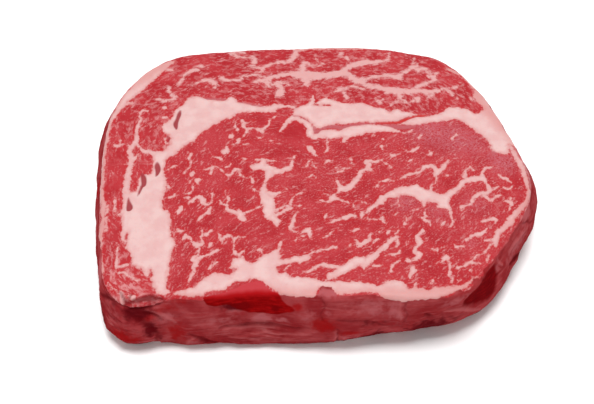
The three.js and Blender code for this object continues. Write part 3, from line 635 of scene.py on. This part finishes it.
# ---------------------------------------------------------------------------------------------
# Mesh
# ---------------------------------------------------------------------------------------------
VOXEL = 1.19 * MM  # quad size on the back and the underside; half of it elsewhere
PAIRED = radians(50)  # how far two of the CAD solid's triangles may bend and skew and still pair up
UNDERSIDE = -0.6  # a quad whose normal has a lower z than this is on the underside
CUT_FACE = 0.5  # and one with a higher z than this is on the cut face
BACK = 0.35  # and a side one with a higher y than this is on the back


def evaluated_mesh(obj):
    """The object's mesh with its modifiers applied, as a new mesh."""
    depsgraph = bpy.context.evaluated_depsgraph_get()
    return bpy.data.meshes.new_from_object(obj.evaluated_get(depsgraph), depsgraph=depsgraph)


def linked(name, data):
    obj = bpy.data.objects.new(name, data)
    bpy.context.scene.collection.objects.link(obj)
    return obj


def discard(obj):
    data = obj.data
    bpy.data.objects.remove(obj)
    bpy.data.meshes.remove(data)


def smooth_form(source):
    """The CAD solid's facets as quads, rounded by subdivision."""
    mesh = source.data.copy()
    bm = bmesh.new()
    bm.from_mesh(mesh)
    bmesh.ops.remove_doubles(bm, verts=bm.verts, dist=0.001 * MM)
    bmesh.ops.join_triangles(
        bm, faces=bm.faces, angle_face_threshold=PAIRED, angle_shape_threshold=PAIRED
    )
    bm.to_mesh(mesh)
    bm.free()
    form = linked("form", mesh)
    form.modifiers.new("round", "SUBSURF").levels = 2
    return form


def fine_grid(form):
    """Even quads over the form, halved on the cut face, the front and the ends."""
    blank = linked("blank", evaluated_mesh(form))
    remesh = blank.modifiers.new("grid", "REMESH")
    remesh.mode = "VOXEL"
    remesh.voxel_size = VOXEL
    mesh = evaluated_mesh(blank)
    discard(blank)
    bm = bmesh.new()
    bm.from_mesh(mesh)
    bm.normal_update()
    detailed = [
        face
        for face in bm.faces
        if face.normal.z > UNDERSIDE and (face.normal.z > CUT_FACE or face.normal.y < BACK)
    ]
    edges = list({edge for face in detailed for edge in face.edges})
    bmesh.ops.subdivide_edges(bm, edges=edges, cuts=1, use_grid_fill=True)
    bm.to_mesh(mesh)
    bm.free()
    return mesh


def settle(mesh, form):
    """Moves each vertex to the nearest place on the rounded form."""
    surface = evaluated_mesh(form)
    tree = BVHTree.FromPolygons(
        [v.co for v in surface.vertices], [p.vertices for p in surface.polygons]
    )
    places = np.array([tree.find_nearest(v.co)[0] for v in mesh.vertices])
    mesh.vertices.foreach_set("co", places.ravel())
    mesh.update()
    bpy.data.meshes.remove(surface)


def positions(mesh):
    co = np.empty(len(mesh.vertices) * 3)
    mesh.vertices.foreach_get("co", co)
    return co.reshape(-1, 3) / MM


def normals(mesh):
    out = np.empty(len(mesh.vertices) * 3)
    mesh.vertex_normals.foreach_get("vector", out)
    return out.reshape(-1, 3)


# ---------------------------------------------------------------------------------------------
# Drawing: fields over the vertices, in millimetres
# ---------------------------------------------------------------------------------------------
REACH = 3.0  # how far from an edge its depth is still worked out
WEB = 0.7  # how softly strokes run together


def smoothstep(low, high, value):
    t = np.clip((value - low) / (high - low), 0, 1)
    return t * t * (3 - 2 * t)


def soft_max(a, b, web=WEB):
    blend = np.maximum(web - np.abs(a - b), 0) / web
    return np.maximum(a, b) + blend * blend * web / 4


def smooth_path(points, closed=False, steps=4):
    """A Catmull-Rom curve through the points, whatever number of values each has."""
    p = np.array(points, float)
    if closed:
        p = np.vstack([p[-1], p, p[:2]])
    else:
        p = np.vstack([2 * p[0] - p[1], p, 2 * p[-1] - p[-2]])
    t = np.linspace(0, 1, steps, endpoint=False)[:, None]
    spans = [
        b + 0.5 * t * (c - a + t * (2 * a - 5 * b + 4 * c - d + t * (3 * (b - c) + d - a)))
        for a, b, c, d in zip(p, p[1:], p[2:], p[3:])
    ]
    return np.vstack(spans + [p[-2]])


def from_segment(xy, a, b):
    """How far along the line from a to b points lie, from 0 to 1, and how far away from it."""
    along = b - a
    share = np.clip((xy - a) @ along / max(along @ along, 1e-9), 0, 1)
    return share, np.hypot(*(xy - a - share[:, None] * along).T)


def capsule_depth(xy, a, b):
    """How deep points lie inside a tapering capsule from a to b, each (x, y, half-width)."""
    share, gap = from_segment(xy, a[:2], b[:2])
    return a[2] + share * (b[2] - a[2]) - gap


def stroke_depth(xy, strokes):
    """How deep points lie inside any of the strokes; outside it is negative, down to -REACH."""
    depth = np.full(len(xy), -REACH)
    for stroke in strokes:
        path = smooth_path(stroke)
        margin = REACH + path[:, 2].max()
        low, high = path[:, :2].min(0) - margin, path[:, :2].max(0) + margin
        near = np.flatnonzero(((xy > low) & (xy < high)).all(1))
        if len(near) == 0:
            continue
        own = np.full(len(near), -REACH)
        for a, b in zip(path, path[1:]):
            own = np.maximum(own, capsule_depth(xy[near], a, b))
        depth[near] = soft_max(depth[near], own)
    return depth


def area_depth(xy, outline):
    """How deep points lie inside a closed outline; outside it is negative, down to -REACH."""
    path = smooth_path(outline, closed=True)
    gap = np.full(len(xy), np.inf)
    inside = np.zeros(len(xy), bool)
    for a, b in zip(path, np.roll(path, -1, axis=0)):
        gap = np.minimum(gap, from_segment(xy, a, b)[1])
        if a[1] != b[1]:
            crosses = (a[1] > xy[:, 1]) != (b[1] > xy[:, 1])
            slant = (b[0] - a[0]) / (b[1] - a[1])
            inside ^= crosses & (xy[:, 0] < a[0] + (xy[:, 1] - a[1]) * slant)
    return np.maximum(np.where(inside, gap, -gap), -REACH)


def patches(wall, spots):
    """The strongest of some soft patches on the unrolled side, from 0 to 1."""
    out = np.zeros(len(wall))
    for around, height, length, rise, strength in spots:
        gap = ((wall[:, 0] - around) / length) ** 2 + ((wall[:, 1] - height) / rise) ** 2
        out = np.maximum(out, strength * np.exp(-gap))
    return np.clip(out, 0, 1)


def ripple(points, sizes, octaves=3, shift=0.0):
    """Fractal noise from about -1 to 1, with features of the given sizes along x, y and z.

    Each use has a shift of its own, so that no two ripples are alike.
    """
    scaled = (points / np.array(sizes, float) + shift).tolist()
    return np.array([noise.fractal(p, 1.0, 2.0, octaves) for p in scaled])


def swirl(points, sizes, shifts):
    """Two ripples side by side, to push places about in a plane."""
    return np.stack([ripple(points, sizes, 2, shift) for shift in shifts], 1)


# ---------------------------------------------------------------------------------------------
# The steak
# ---------------------------------------------------------------------------------------------
BEARINGS = 360  # places at which the outline seen from above is measured
SEAM_LEAN = 6  # mm that the seams shift from the upper cut face to the lower one, at the most
RAGGED = 0.45  # mm that the edges of the fat waver
GRAIN_BLEND = 5  # mm over which one listed direction of the fibres gives way to the next
CAP_OVAL = (78, 60)  # half-axes of the oval that the cap's fibres follow
ROUNDED = 3  # mm in from the outline within which height alone says where on the side a point is
SIDE_REACH = 12  # mm in from the outline beyond which nothing belongs to the side
CORNER = (-66, -60, 13)  # the drooping corner, in the steak's own frame: x, y, radius


def rim_coordinates(points):
    """Distance round the outline seen from above and in from it, in millimetres."""
    angle = np.arctan2(points[:, 1], points[:, 0])
    radius = np.hypot(points[:, 0], points[:, 1])
    slot = ((angle + pi) / (2 * pi) * BEARINGS).astype(int) % BEARINGS
    reach = np.zeros(BEARINGS)
    np.maximum.at(reach, slot, radius)
    reach = (np.roll(reach, 1) + reach + np.roll(reach, -1)) / 3
    turn = (np.arange(BEARINGS) + 0.5) / BEARINGS * 2 * pi - pi
    outline = np.stack([reach * np.cos(turn), reach * np.sin(turn)], 1)
    step = np.hypot(*(np.roll(outline, -1, axis=0) - outline).T)
    length = np.concatenate([[0], np.cumsum(step)[:-1]])
    around = np.interp(angle, turn, length, period=2 * pi)
    inward = np.interp(angle, turn, reach, period=2 * pi) - radius
    return around, inward


def grain_field(xy, cap):
    """Unit vectors along the fibres: as listed in the eye, round the outside in the cap."""
    total = np.zeros((len(xy), 2))
    for x, y, degrees in GRAIN:  # directions without a sense, averaged at twice their angle
        weight = 1 / (GRAIN_BLEND**2 + (xy[:, 0] - x) ** 2 + (xy[:, 1] - y) ** 2) ** 1.5
        total += weight[:, None] * (cos(radians(2 * degrees)), sin(radians(2 * degrees)))
    total /= np.hypot(*total.T)[:, None]
    outside = 2 * np.arctan2(xy[:, 0] / CAP_OVAL[0] ** 2, -xy[:, 1] / CAP_OVAL[1] ** 2)
    oval = np.stack([np.cos(outside), np.sin(outside)], 1)
    total = (1 - cap)[:, None] * total + cap[:, None] * oval
    half = np.arctan2(total[:, 1], total[:, 0]) / 2
    return np.stack([np.cos(half), np.sin(half), np.zeros(len(xy))], 1)


def spread(xy, spots, value):
    """A field that starts at `value` and is drawn towards each spot's own amount near it."""
    for x, y, radius, amount in spots:
        near = np.exp(-((np.hypot(xy[:, 0] - x, xy[:, 1] - y) / radius) ** 2))
        value = value + near * (amount - value)
    return value


def store(mesh, name, values):
    kind, field = ("FLOAT_VECTOR", "vector") if values.ndim == 2 else ("FLOAT", "value")
    attribute = mesh.attributes.new(name, kind, "POINT")
    attribute.data.foreach_set(field, values.astype(np.float32).ravel())


def draw_face(flesh):
    """The cut faces' fields. The seams lean as they run down, so the two faces differ."""
    sunk = np.clip(1 - flesh[:, 2] / flesh[:, 2].max(), 0, 1)
    drift = swirl(flesh * (1, 1, 0), (22, 22, 22), (5.3, 17.9))
    xy = flesh[:, :2] - DRAWN_FROM + drift * (SEAM_LEAN * sunk)[:, None]
    ragged = swirl(flesh, (2.2, 2.2, 6), (31.1, 47.7))
    wavering = xy + RAGGED * ragged
    cap = 1 - smoothstep(-1.5, 1.5, area_depth(wavering, EYE_OUTLINE))
    fat = stroke_depth(wavering, FAT_RIMS + EYE_VEINS)
    for outline in FAT_AREAS.values():
        fat = soft_max(fat, area_depth(wavering, outline))
    cleft = stroke_depth(xy, CLEFT)
    for carved in (stroke_depth(xy, LEAN_ISLANDS), cleft):
        fat = np.minimum(fat, -carved)
    return {
        "drawn": np.column_stack([xy, np.zeros(len(xy))]),
        "grain": grain_field(xy, cap),
        "cap": cap,
        "fat": fat,
        "cap_vein": stroke_depth(wavering, CAP_VEINS),
        "vessel": stroke_depth(xy, VESSELS),
        "mauve": stroke_depth(xy, MAUVE_LINES),
        "fold": stroke_depth(xy + 0.4 * ragged, FOLDS),
        "cleft": cleft,
        "bloom": spread(xy, BLOOMS, 0.0),
        "haze": spread(xy, HAZES, EYE_HAZE + (CAP_HAZE - EYE_HAZE) * cap),
    }


def draw_side(flesh):
    """The side's fields, drawn on it unrolled."""
    around, inward = rim_coordinates(flesh)
    lip = np.interp(around, *zip(*LIP))
    wall = np.stack([around, flesh[:, 2] + np.maximum(inward - ROUNDED, 0)], 1)
    wobble = swirl(flesh, (3, 3, 3), (61.3, 77.1))
    below = lip + 0.5 * wobble[:, 0] - wall[:, 1]
    near = inward < SIDE_REACH
    bared = np.full(len(flesh), -REACH)
    bared[near] = area_depth((wall + 0.5 * wobble)[near], BARED)
    hollow = np.full(len(flesh), -REACH)
    hollow[near] = area_depth((wall + 0.9 * wobble)[near], HOLLOW)
    on_side = smoothstep(-0.4, 0.4, below) * smoothstep(0.8, 2.2, flesh[:, 2]) * near
    wall = wall + 0.4 * wobble
    return {
        "rounded": np.stack([around, inward, flesh[:, 2]], 1),
        "side": np.maximum(on_side, smoothstep(-0.2, 0.3, bared)),
        "bared": bared,
        "hollow": hollow,
        "crease": stroke_depth(wall, CREASES),
        "ridge": stroke_depth(wall, RIDGES),
        "pale": patches(wall, PALE),
        "ruddy": patches(wall, RUDDY),
        "shaded": patches(wall, SHADED),
        "striated": patches(wall, STRIATED),
        "rise": wall[:, 1],
    }


# How far the drawn things stand out, in millimetres, over which depths they rise or sink
FACE_STEPS = {
    "vessel": (-0.7, -0.2, 0.6),
    "cleft": (-0.6, -0.3, 0.4),
    "mauve": (-0.15, -0.2, 0.4),
    "fold": (-0.6, -0.4, 0.8),
}
SIDE_STEPS = {
    "crease": (-0.5, -1.0, 0.8),
    "ridge": (0.35, -0.8, 0.8),
    "hollow": (-0.5, -1.0, 1.5),
    "bared": (0.35, -0.3, 0.8),
}


def stepped(fields, steps):
    return sum(out * smoothstep(low, high, fields[name]) for name, (out, low, high) in steps.items())


def relief(flesh, face, side):
    """How far each point stands out along its normal, in millimetres."""
    on_face = (
        0.2 * smoothstep(-0.3, 0.9, np.maximum(face["fat"], face["cap_vein"]))
        + 0.12 * ripple(flesh, (5, 5, 5), 2, 8.3)
        + 0.06 * ripple(flesh, (1.3, 1.3, 1.3), 2, 2.2)
        + stepped(face, FACE_STEPS)
    )
    unrolled = side["rounded"] * (1, 0, 1)
    x, y, radius = CORNER
    corner = np.exp(-((np.hypot(flesh[:, 0] - x, flesh[:, 1] - y) / radius) ** 2))
    on_side = (
        (0.06 + 0.3 * side["striated"]) * ripple(unrolled, (9, 1, 1.4), 3, 3.1)
        + 0.4 * ripple(unrolled, (8, 1, 5), 3, 12.7)
        + corner * 0.5 * ripple(unrolled, (5, 1, 2.2), 3, 21.0)
        + stepped(side, SIDE_STEPS)
    )
    uneven_rim = 0.4 * smoothstep(5.0, 1.0, side["rounded"][:, 1]) * ripple(flesh, (9, 9, 30), 2, 33.3)
    out = (1 - side["side"]) * on_face + side["side"] * on_side + uneven_rim
    return out * smoothstep(0.0, 1.5, flesh[:, 2])


def make_steak():
    form = smooth_form(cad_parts["steak"])
    mesh = fine_grid(form)
    settle(mesh, form)
    discard(form)

    flesh = positions(mesh)
    face, side = draw_face(flesh), draw_side(flesh)
    moved = flesh + normals(mesh) * relief(flesh, face, side)[:, None]
    moved[:, 2] = np.maximum(moved[:, 2], 0)
    mesh.vertices.foreach_set("co", (moved * MM).ravel())
    mesh.update()
    for name, values in {"flesh": flesh, **face, **side}.items():
        store(mesh, name, values)

    mesh.shade_smooth()
    mesh.materials.clear()
    mesh.materials.append(steak_material())
    steak = linked("beef_steak", mesh)
    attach(steak, "root")
    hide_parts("steak")


# ---------------------------------------------------------------------------------------------
# Material
# ---------------------------------------------------------------------------------------------
FACE_LIT = 1.5  # how much the studio light lifts the own colour of a level surface
SIDE_LIT = 1.1  # the same for an upright one
POINTED = 0.8  # the power that shapes a fleck of fat: 1 is a diamond, less has longer points
LAYER_SHIFT = 37.0  # mm between the patterns of two layers of flecks


def tone(red, green, blue, lit=FACE_LIT):
    """The surface colour that looks like this 8-bit colour under the studio light."""
    shown = np.array([red, green, blue]) / 255
    linear = np.where(shown <= 0.04045, shown / 12.92, ((shown + 0.055) / 1.055) ** 2.4)
    return (*(linear / lit).tolist(), 1.0)


def side_tone(red, green, blue):
    return tone(red, green, blue, SIDE_LIT)


class Graph:
    """A material's nodes, added one call at a time. Values are sockets or plain numbers."""

    def __init__(self, name):
        self.material = bpy.data.materials.new(name)
        self.material.use_nodes = True
        self.tree = self.material.node_tree
        self.shader = self.tree.nodes["Principled BSDF"]

    def put(self, socket, value):
        if isinstance(value, bpy.types.NodeSocket):
            self.tree.links.new(value, socket)
        else:
            socket.default_value = value

    def node(self, kind, inputs=(), **settings):
        node = self.tree.nodes.new(kind)
        for key, value in settings.items():
            setattr(node, key, value)
        for key, value in dict(inputs).items():
            self.put(node.inputs[key], value)
        return node

    def field(self, name):
        return self.node("ShaderNodeAttribute", attribute_name=name).outputs["Fac"]

    def place(self, name):
        return self.node("ShaderNodeAttribute", attribute_name=name).outputs["Vector"]

    def math(self, operation, a, b=0.0, c=0.0):
        return self.node("ShaderNodeMath", {0: a, 1: b, 2: c}, operation=operation).outputs[0]

    def vector(self, operation, *values, output="Vector"):
        inputs = dict(enumerate(values))
        return self.node("ShaderNodeVectorMath", inputs, operation=operation).outputs[output]

    def stretched(self, place, sizes):
        """Coordinates in which features of the given sizes come out one unit long."""
        return self.vector("DIVIDE", place, sizes)

    def noise(self, place, size=1.0, detail=2.0, roughness=0.5, output="Fac"):
        return self.node(
            "ShaderNodeTexNoise",
            {"Vector": place, "Scale": 1 / size, "Detail": detail, "Roughness": roughness},
        ).outputs[output]

    def bent(self, place, size, reach):
        """A place pushed about by up to `reach`, in swirls of the given size."""
        swirl = self.noise(place, size, 2.0, output="Color")
        push = self.vector("SUBTRACT", swirl, (0.5, 0.5, 0.5))
        return self.vector("MULTIPLY_ADD", push, (2 * reach, 2 * reach, 0), place)

    def ramp(self, value, low, high, start=0.0, end=1.0):
        return self.node(
            "ShaderNodeMapRange",
            {"Value": value, "From Min": low, "From Max": high, "To Min": start, "To Max": end},
            interpolation_type="SMOOTHSTEP",
        ).outputs["Result"]

    def mix(self, share, a, b):
        node = self.node("ShaderNodeMix", data_type="RGBA")
        self.put(node.inputs[0], share)
        self.put(node.inputs[6], a)
        self.put(node.inputs[7], b)
        return node.outputs[2]

    def painted(self, colour, name, low, high, most, over):
        """The colour with another over it, where the named field runs from low to high."""
        return self.mix(self.ramp(self.field(name), low, high, 0.0, most), colour, over)

    def flecks(self, place, grain, across, cell, length, width, share, shift):
        """Tapering flecks of fat along the grain, at most one in each cell of the given size."""
        moved = self.vector("ADD", place, (shift, shift, 0))
        cells = self.node("ShaderNodeTexVoronoi", {"Vector": moved, "Scale": 1 / cell})
        chance = self.node("ShaderNodeSeparateColor", {0: cells.outputs["Color"]})
        gap = self.vector("SUBTRACT", moved, cells.outputs["Position"])
        along = self.math("ABSOLUTE", self.vector("DOT_PRODUCT", gap, grain, output="Value"))
        aside = self.math("ABSOLUTE", self.vector("DOT_PRODUCT", gap, across, output="Value"))
        size = self.ramp(chance.outputs[0], 1 - share, 1.3 - share)

        def measured(distance, most, luck):
            """The distance in units of the fleck's own size in that direction, to a power."""
            own = self.math("MULTIPLY", self.ramp(luck, 0, 1, 0.5 * most, most), size)
            units = self.math("DIVIDE", distance, self.math("MAXIMUM", own, 0.01))
            return self.math("POWER", units, POINTED)

        lengthwise = measured(along, length, chance.outputs[1])
        sideways = measured(aside, width, chance.outputs[2])
        return self.ramp(self.math("ADD", lengthwise, sideways), 1.35, 0.6)


def marbling(g, drawn):
    """Fine fat between the fibres, in sizes of fleck from threads to specks, thicker in the haze."""
    grain = g.place("grain")
    across = g.vector("CROSS_PRODUCT", grain, (0, 0, 1))
    wavy = g.bent(g.bent(drawn, 2.6, 1.1), 0.8, 0.3)
    patchy = g.ramp(g.noise(drawn, 6.0, 2.0), 0.36, 0.56, 0.35, 1.0)
    rich = g.math("MULTIPLY", patchy, g.ramp(g.field("haze"), 0.0, 0.25))
    by_fat = g.ramp(g.field("fat"), -1.6, -0.1)
    layers = (  # cell, length, width, share of cells, strength, where
        (4.6, 3.2, 0.6, 0.5, 0.8, rich),
        (2.5, 1.9, 0.42, 0.66, 0.7, rich),
        (1.3, 0.8, 0.3, 0.62, 0.5, rich),
        (1.9, 1.5, 0.42, 0.6, 0.7, by_fat),
    )
    fat = 0.0
    for layer, (cell, length, width, share, strength, where) in enumerate(layers):
        shown = g.flecks(wavy, grain, across, cell, length, width, share, LAYER_SHIFT * layer)
        fat = g.math("MAXIMUM", fat, g.math("MULTIPLY", shown, g.math("MULTIPLY", where, strength)))
    broken = g.ramp(g.noise(drawn, 0.7, 2.0), 0.3, 0.6, 0.55, 1.0)
    return g.math("MULTIPLY", fat, broken)


def lean_colour(g, flesh, drawn, rounded):
    """Red muscle: darker and brighter beds, redder beside fat, with a pale haze of fine fat."""
    beds = g.ramp(g.noise(flesh, 8.0, 3.0), 0.35, 0.65)
    eye_lean = g.mix(beds, tone(187, 34, 44), tone(201, 57, 65))
    cap_lean = g.mix(beds, tone(188, 36, 45), tone(202, 56, 63))
    colour = g.mix(g.field("cap"), eye_lean, cap_lean)
    colour = g.painted(colour, "fat", -1.8, -0.2, 0.6, tone(203, 42, 48))
    dust = g.noise(g.bent(drawn, 1.5, 0.5), 0.6, 3.0, 0.65)
    eye_fog = g.ramp(dust, 0.46, 0.74)
    clouds = g.stretched(g.bent(rounded, 4.0, 1.5), (3.2, 1.7, 3.0))
    cap_fog = g.ramp(g.noise(clouds, 1.0, 4.0, 0.62), 0.47, 0.68)
    apart = g.math("SUBTRACT", cap_fog, eye_fog)
    fog = g.math("ADD", eye_fog, g.math("MULTIPLY", g.field("cap"), apart))
    veil = g.math("MULTIPLY", fog, g.math("MULTIPLY", g.field("haze"), 1.2))
    return g.mix(veil, colour, tone(228, 143, 144))


def fat_share(g, flesh):
    """Where the drawn fat shows, and how deep in it a point lies."""
    coarse = g.ramp(g.noise(flesh, 1.5, 2.0, 0.5), 0.25, 0.75, -0.3, 0.3)
    fine = g.ramp(g.noise(flesh, 0.5, 2.0, 0.5), 0.25, 0.75, -0.12, 0.12)
    depth = g.math("ADD", g.field("fat"), g.math("ADD", coarse, fine))
    return g.ramp(depth, -0.3, 0.3), depth


def cap_vein_share(g, flesh, rounded):
    """The cap's veins, which fray into the red muscle beside them."""
    clouds = g.noise(g.stretched(g.bent(rounded, 3.0, 1.2), (2.6, 1.3, 2.6)), 1.0, 4.0, 0.65)
    depth = g.math("ADD", g.field("cap_vein"), g.ramp(clouds, 0.3, 0.7, -0.65, 0.55))
    return g.ramp(depth, -0.75, 0.65, 0.0, 0.95)


def bloom_share(g, drawn):
    """Where the cut muscle is veiled in mauve, in threads."""
    threads = g.noise(g.bent(drawn, 2.0, 1.2), 0.8, 4.0, 0.7)
    return g.math("MULTIPLY", g.field("bloom"), g.ramp(threads, 0.4, 0.6))


def fat_colour(g, flesh, rounded, depth):
    """Pale pink fat, whiter in its broad parts, pinker at its edges and salmon at the rim."""
    lobes = g.noise(flesh, 5.0, 3.0)
    threads = g.noise(g.bent(flesh, 3.0, 1.0), 1.6, 3.0, 0.6)
    broad = g.mix(g.ramp(lobes, 0.35, 0.65), tone(240, 190, 188), tone(245, 204, 201))
    broad = g.mix(g.ramp(threads, 0.56, 0.72, 0.0, 0.35), broad, tone(235, 172, 170))
    colour = g.mix(g.ramp(depth, 0.0, 1.5), tone(234, 170, 168), broad)
    inward = g.node("ShaderNodeSeparateXYZ", {"Vector": rounded}).outputs["Y"]
    return g.mix(g.ramp(inward, 8.5, 3.0, 0.0, 0.65), colour, tone(228, 148, 144))


def patch_share(g, flesh, name, most):
    """Where a soft patch of the side shows, with uneven edges."""
    uneven = g.ramp(g.noise(flesh, 2.2, 3.0), 0.3, 0.7, -0.2, 0.2)
    return g.ramp(g.math("ADD", g.field(name), uneven), 0.15, 0.85, 0.0, most)


def membrane_colour(g, flesh, rounded):
    """Moist membrane over red muscle, streaked along the rim, with patches, ridges lit by a painted
    highlight, and painted shade in the creases and towards the foot.
    """
    beds = g.ramp(g.noise(flesh, 9.0, 3.0), 0.35, 0.65)
    colour = g.mix(beds, side_tone(138, 36, 40), side_tone(157, 60, 63))
    streaks = g.noise(g.stretched(g.bent(rounded, 5.0, 1.2), (7.0, 6.0, 1.1)), 1.0, 4.0, 0.6)
    striated = g.ramp(g.field("striated"), 0.0, 1.0, 0.35, 0.85)
    pale_streaks = g.math("MULTIPLY", g.ramp(streaks, 0.52, 0.7), striated)
    dark_streaks = g.math("MULTIPLY", g.ramp(streaks, 0.48, 0.3), striated)
    colour = g.mix(pale_streaks, colour, side_tone(176, 88, 90))
    colour = g.mix(dark_streaks, colour, side_tone(116, 18, 24))
    # pale patches: pale membrane, partly a painted sheen
    colour = g.mix(patch_share(g, flesh, "pale", 0.75), colour, side_tone(176, 92, 96))
    colour = g.mix(patch_share(g, flesh, "ruddy", 0.9), colour, side_tone(146, 18, 20))
    colour = g.mix(patch_share(g, flesh, "shaded", 0.9), colour, side_tone(86, 10, 17))
    # painted highlight on the ridges
    colour = g.painted(colour, "ridge", -0.6, 0.6, 0.5, side_tone(184, 96, 98))
    # painted shade in the creases
    colour = g.painted(colour, "crease", -0.5, 1.0, 0.75, side_tone(92, 10, 16))
    # painted shade, darker towards the foot of the side
    return g.painted(colour, "rise", 8.0, 0.5, 0.4, side_tone(92, 12, 20))


def bared_colour(g, flesh, fibres):
    """The bared muscle: dark red on the side, paler where it turns up into the light."""
    colour = g.mix(fibres, side_tone(124, 6, 8), side_tone(150, 13, 15))
    colour = g.mix(patch_share(g, flesh, "shaded", 0.85), colour, side_tone(102, 5, 8))
    colour = g.painted(colour, "rise", 26.5, 28.8, 1.0, tone(188, 22, 27))
    return g.painted(colour, "rise", 28.5, 31.0, 0.8, tone(214, 78, 86))


def side_colour(g, flesh, rounded):
    """The side's membrane, with the hollow, dark red with painted shade, and the bared muscle in it."""
    fibres = g.ramp(g.noise(g.stretched(rounded, (4.0, 4.0, 0.7)), 1.0, 3.0), 0.4, 0.7)
    # the hollow: dark red muscle with painted shade
    hollow = g.mix(fibres, side_tone(100, 7, 12), side_tone(126, 11, 15))
    colour = g.painted(membrane_colour(g, flesh, rounded), "hollow", -0.8, 1.2, 0.95, hollow)
    return g.painted(colour, "bared", -0.3, 0.3, 1.0, bared_colour(g, flesh, fibres))


def face_colour(g, flesh, drawn, rounded):
    """The cut face: lean, then fine fat, veins and bloom, broad fat, and what is drawn over it."""
    colour = g.mix(marbling(g, drawn), lean_colour(g, flesh, drawn, rounded), tone(229, 152, 152))
    colour = g.mix(cap_vein_share(g, flesh, rounded), colour, tone(239, 180, 178))
    colour = g.mix(bloom_share(g, drawn), colour, tone(207, 112, 123))
    share, depth = fat_share(g, flesh)
    colour = g.mix(share, colour, fat_colour(g, flesh, rounded, depth))
    colour = g.painted(colour, "mauve", -0.3, 0.35, 0.85, tone(202, 102, 108))
    colour = g.painted(colour, "cleft", -0.3, 0.3, 1.0, tone(214, 52, 50))
    colour = g.painted(colour, "vessel", -0.3, 0.35, 0.95, tone(172, 56, 64))
    # painted shade in the folds at the drooping corner
    colour = g.painted(colour, "fold", -0.5, 0.7, 0.9, tone(124, 16, 22))
    return colour


def steak_material():
    g = Graph("raw_beef")
    flesh, drawn, rounded = g.place("flesh"), g.place("drawn"), g.place("rounded")
    worn = g.math("ADD", g.field("side"), g.ramp(g.noise(flesh, 1.5, 3.0), 0.3, 0.7, -0.2, 0.2))
    on_side = g.ramp(worn, 0.3, 0.7)
    face, side = face_colour(g, flesh, drawn, rounded), side_colour(g, flesh, rounded)
    g.put(g.shader.inputs["Base Color"], g.mix(on_side, face, side))

    moist = g.noise(flesh, 2.5, 3.0)
    g.put(g.shader.inputs["Roughness"], g.ramp(moist, 0.3, 0.7, 0.34, 0.55))
    g.put(g.shader.inputs["Specular IOR Level"], g.ramp(on_side, 0.0, 1.0, 0.12, 0.0))
    g.shader.inputs["Subsurface Weight"].default_value = 0.1
    g.shader.inputs["Subsurface Radius"].default_value = (1.0, 0.3, 0.2)
    g.shader.inputs["Subsurface Scale"].default_value = 0.8 * MM

    grit = g.math("ADD", g.noise(flesh, 1.1, 3.0, 0.6), g.math("MULTIPLY", g.noise(flesh, 0.35), 0.5))
    bump = g.node("ShaderNodeBump", {"Strength": 0.3, "Distance": 0.3 * MM, "Height": grit})
    g.put(g.shader.inputs["Normal"], bump.outputs[0])
    return g.material


# ---------------------------------------------------------------------------------------------
# Stage
# ---------------------------------------------------------------------------------------------
FLOOR = 2.0  # from its middle to its edge, in metres
SKY_STRENGTH = 0.6
SUN_STRENGTH = 2.85
SUN_WIDTH = radians(24)  # across the lamp, as the steak sees it
SUN_LEAN = radians(1)  # from straight overhead


def make_floor():
    mesh = bpy.data.meshes.new("floor")
    corners = [(FLOOR * x, FLOOR * y, 0) for x, y in ((-1, -1), (1, -1), (1, 1), (-1, 1))]
    mesh.from_pydata(corners, [], [(0, 1, 2, 3)])
    g = Graph("pale_floor")
    place = g.node("ShaderNodeTexCoord").outputs["Object"]
    cloud = g.noise(place, 0.4, 2.0)
    g.put(g.shader.inputs["Base Color"], g.mix(cloud, (0.92, 0.92, 0.92, 1), (0.94, 0.94, 0.94, 1)))
    g.shader.inputs["Roughness"].default_value = 0.9
    g.shader.inputs["Specular IOR Level"].default_value = 0.1
    mesh.materials.append(g.material)
    linked("floor", mesh)


def make_light():
    world = bpy.data.worlds.new("studio")
    bpy.context.scene.world = world
    world.use_nodes = True
    background = world.node_tree.nodes["Background"]
    background.inputs["Color"].default_value = (1, 1, 1, 1)
    background.inputs["Strength"].default_value = SKY_STRENGTH
    overhead = bpy.data.lights.new("overhead", "SUN")
    overhead.energy = SUN_STRENGTH
    overhead.angle = SUN_WIDTH
    lamp = linked("overhead", overhead)
    lamp.rotation_euler = (SUN_LEAN, 0, 0)


CAMERA_ELEVATION = radians(50)
CAMERA_DISTANCE = 0.487
CAMERA_AIM = Vector((-0.0068, -0.0064, 0.00015))  # from the middle of the steak's box
LENS = 80
SENSOR = 36


def make_camera():
    camera = bpy.data.cameras.new("camera")
    camera.lens = LENS
    camera.sensor_width = SENSOR
    camera.dof.use_dof = False
    obj = linked("camera", camera)
    back = Vector((0, -cos(CAMERA_ELEVATION), sin(CAMERA_ELEVATION)))
    obj.location = (cad_low + cad_high) / 2 + CAMERA_AIM + back * CAMERA_DISTANCE
    obj.rotation_euler = (pi / 2 - CAMERA_ELEVATION, 0, 0)
    bpy.context.scene.camera = obj
    bpy.context.scene.view_settings.view_transform = "Standard"


make_camera()
make_floor()
make_light()
make_steak()
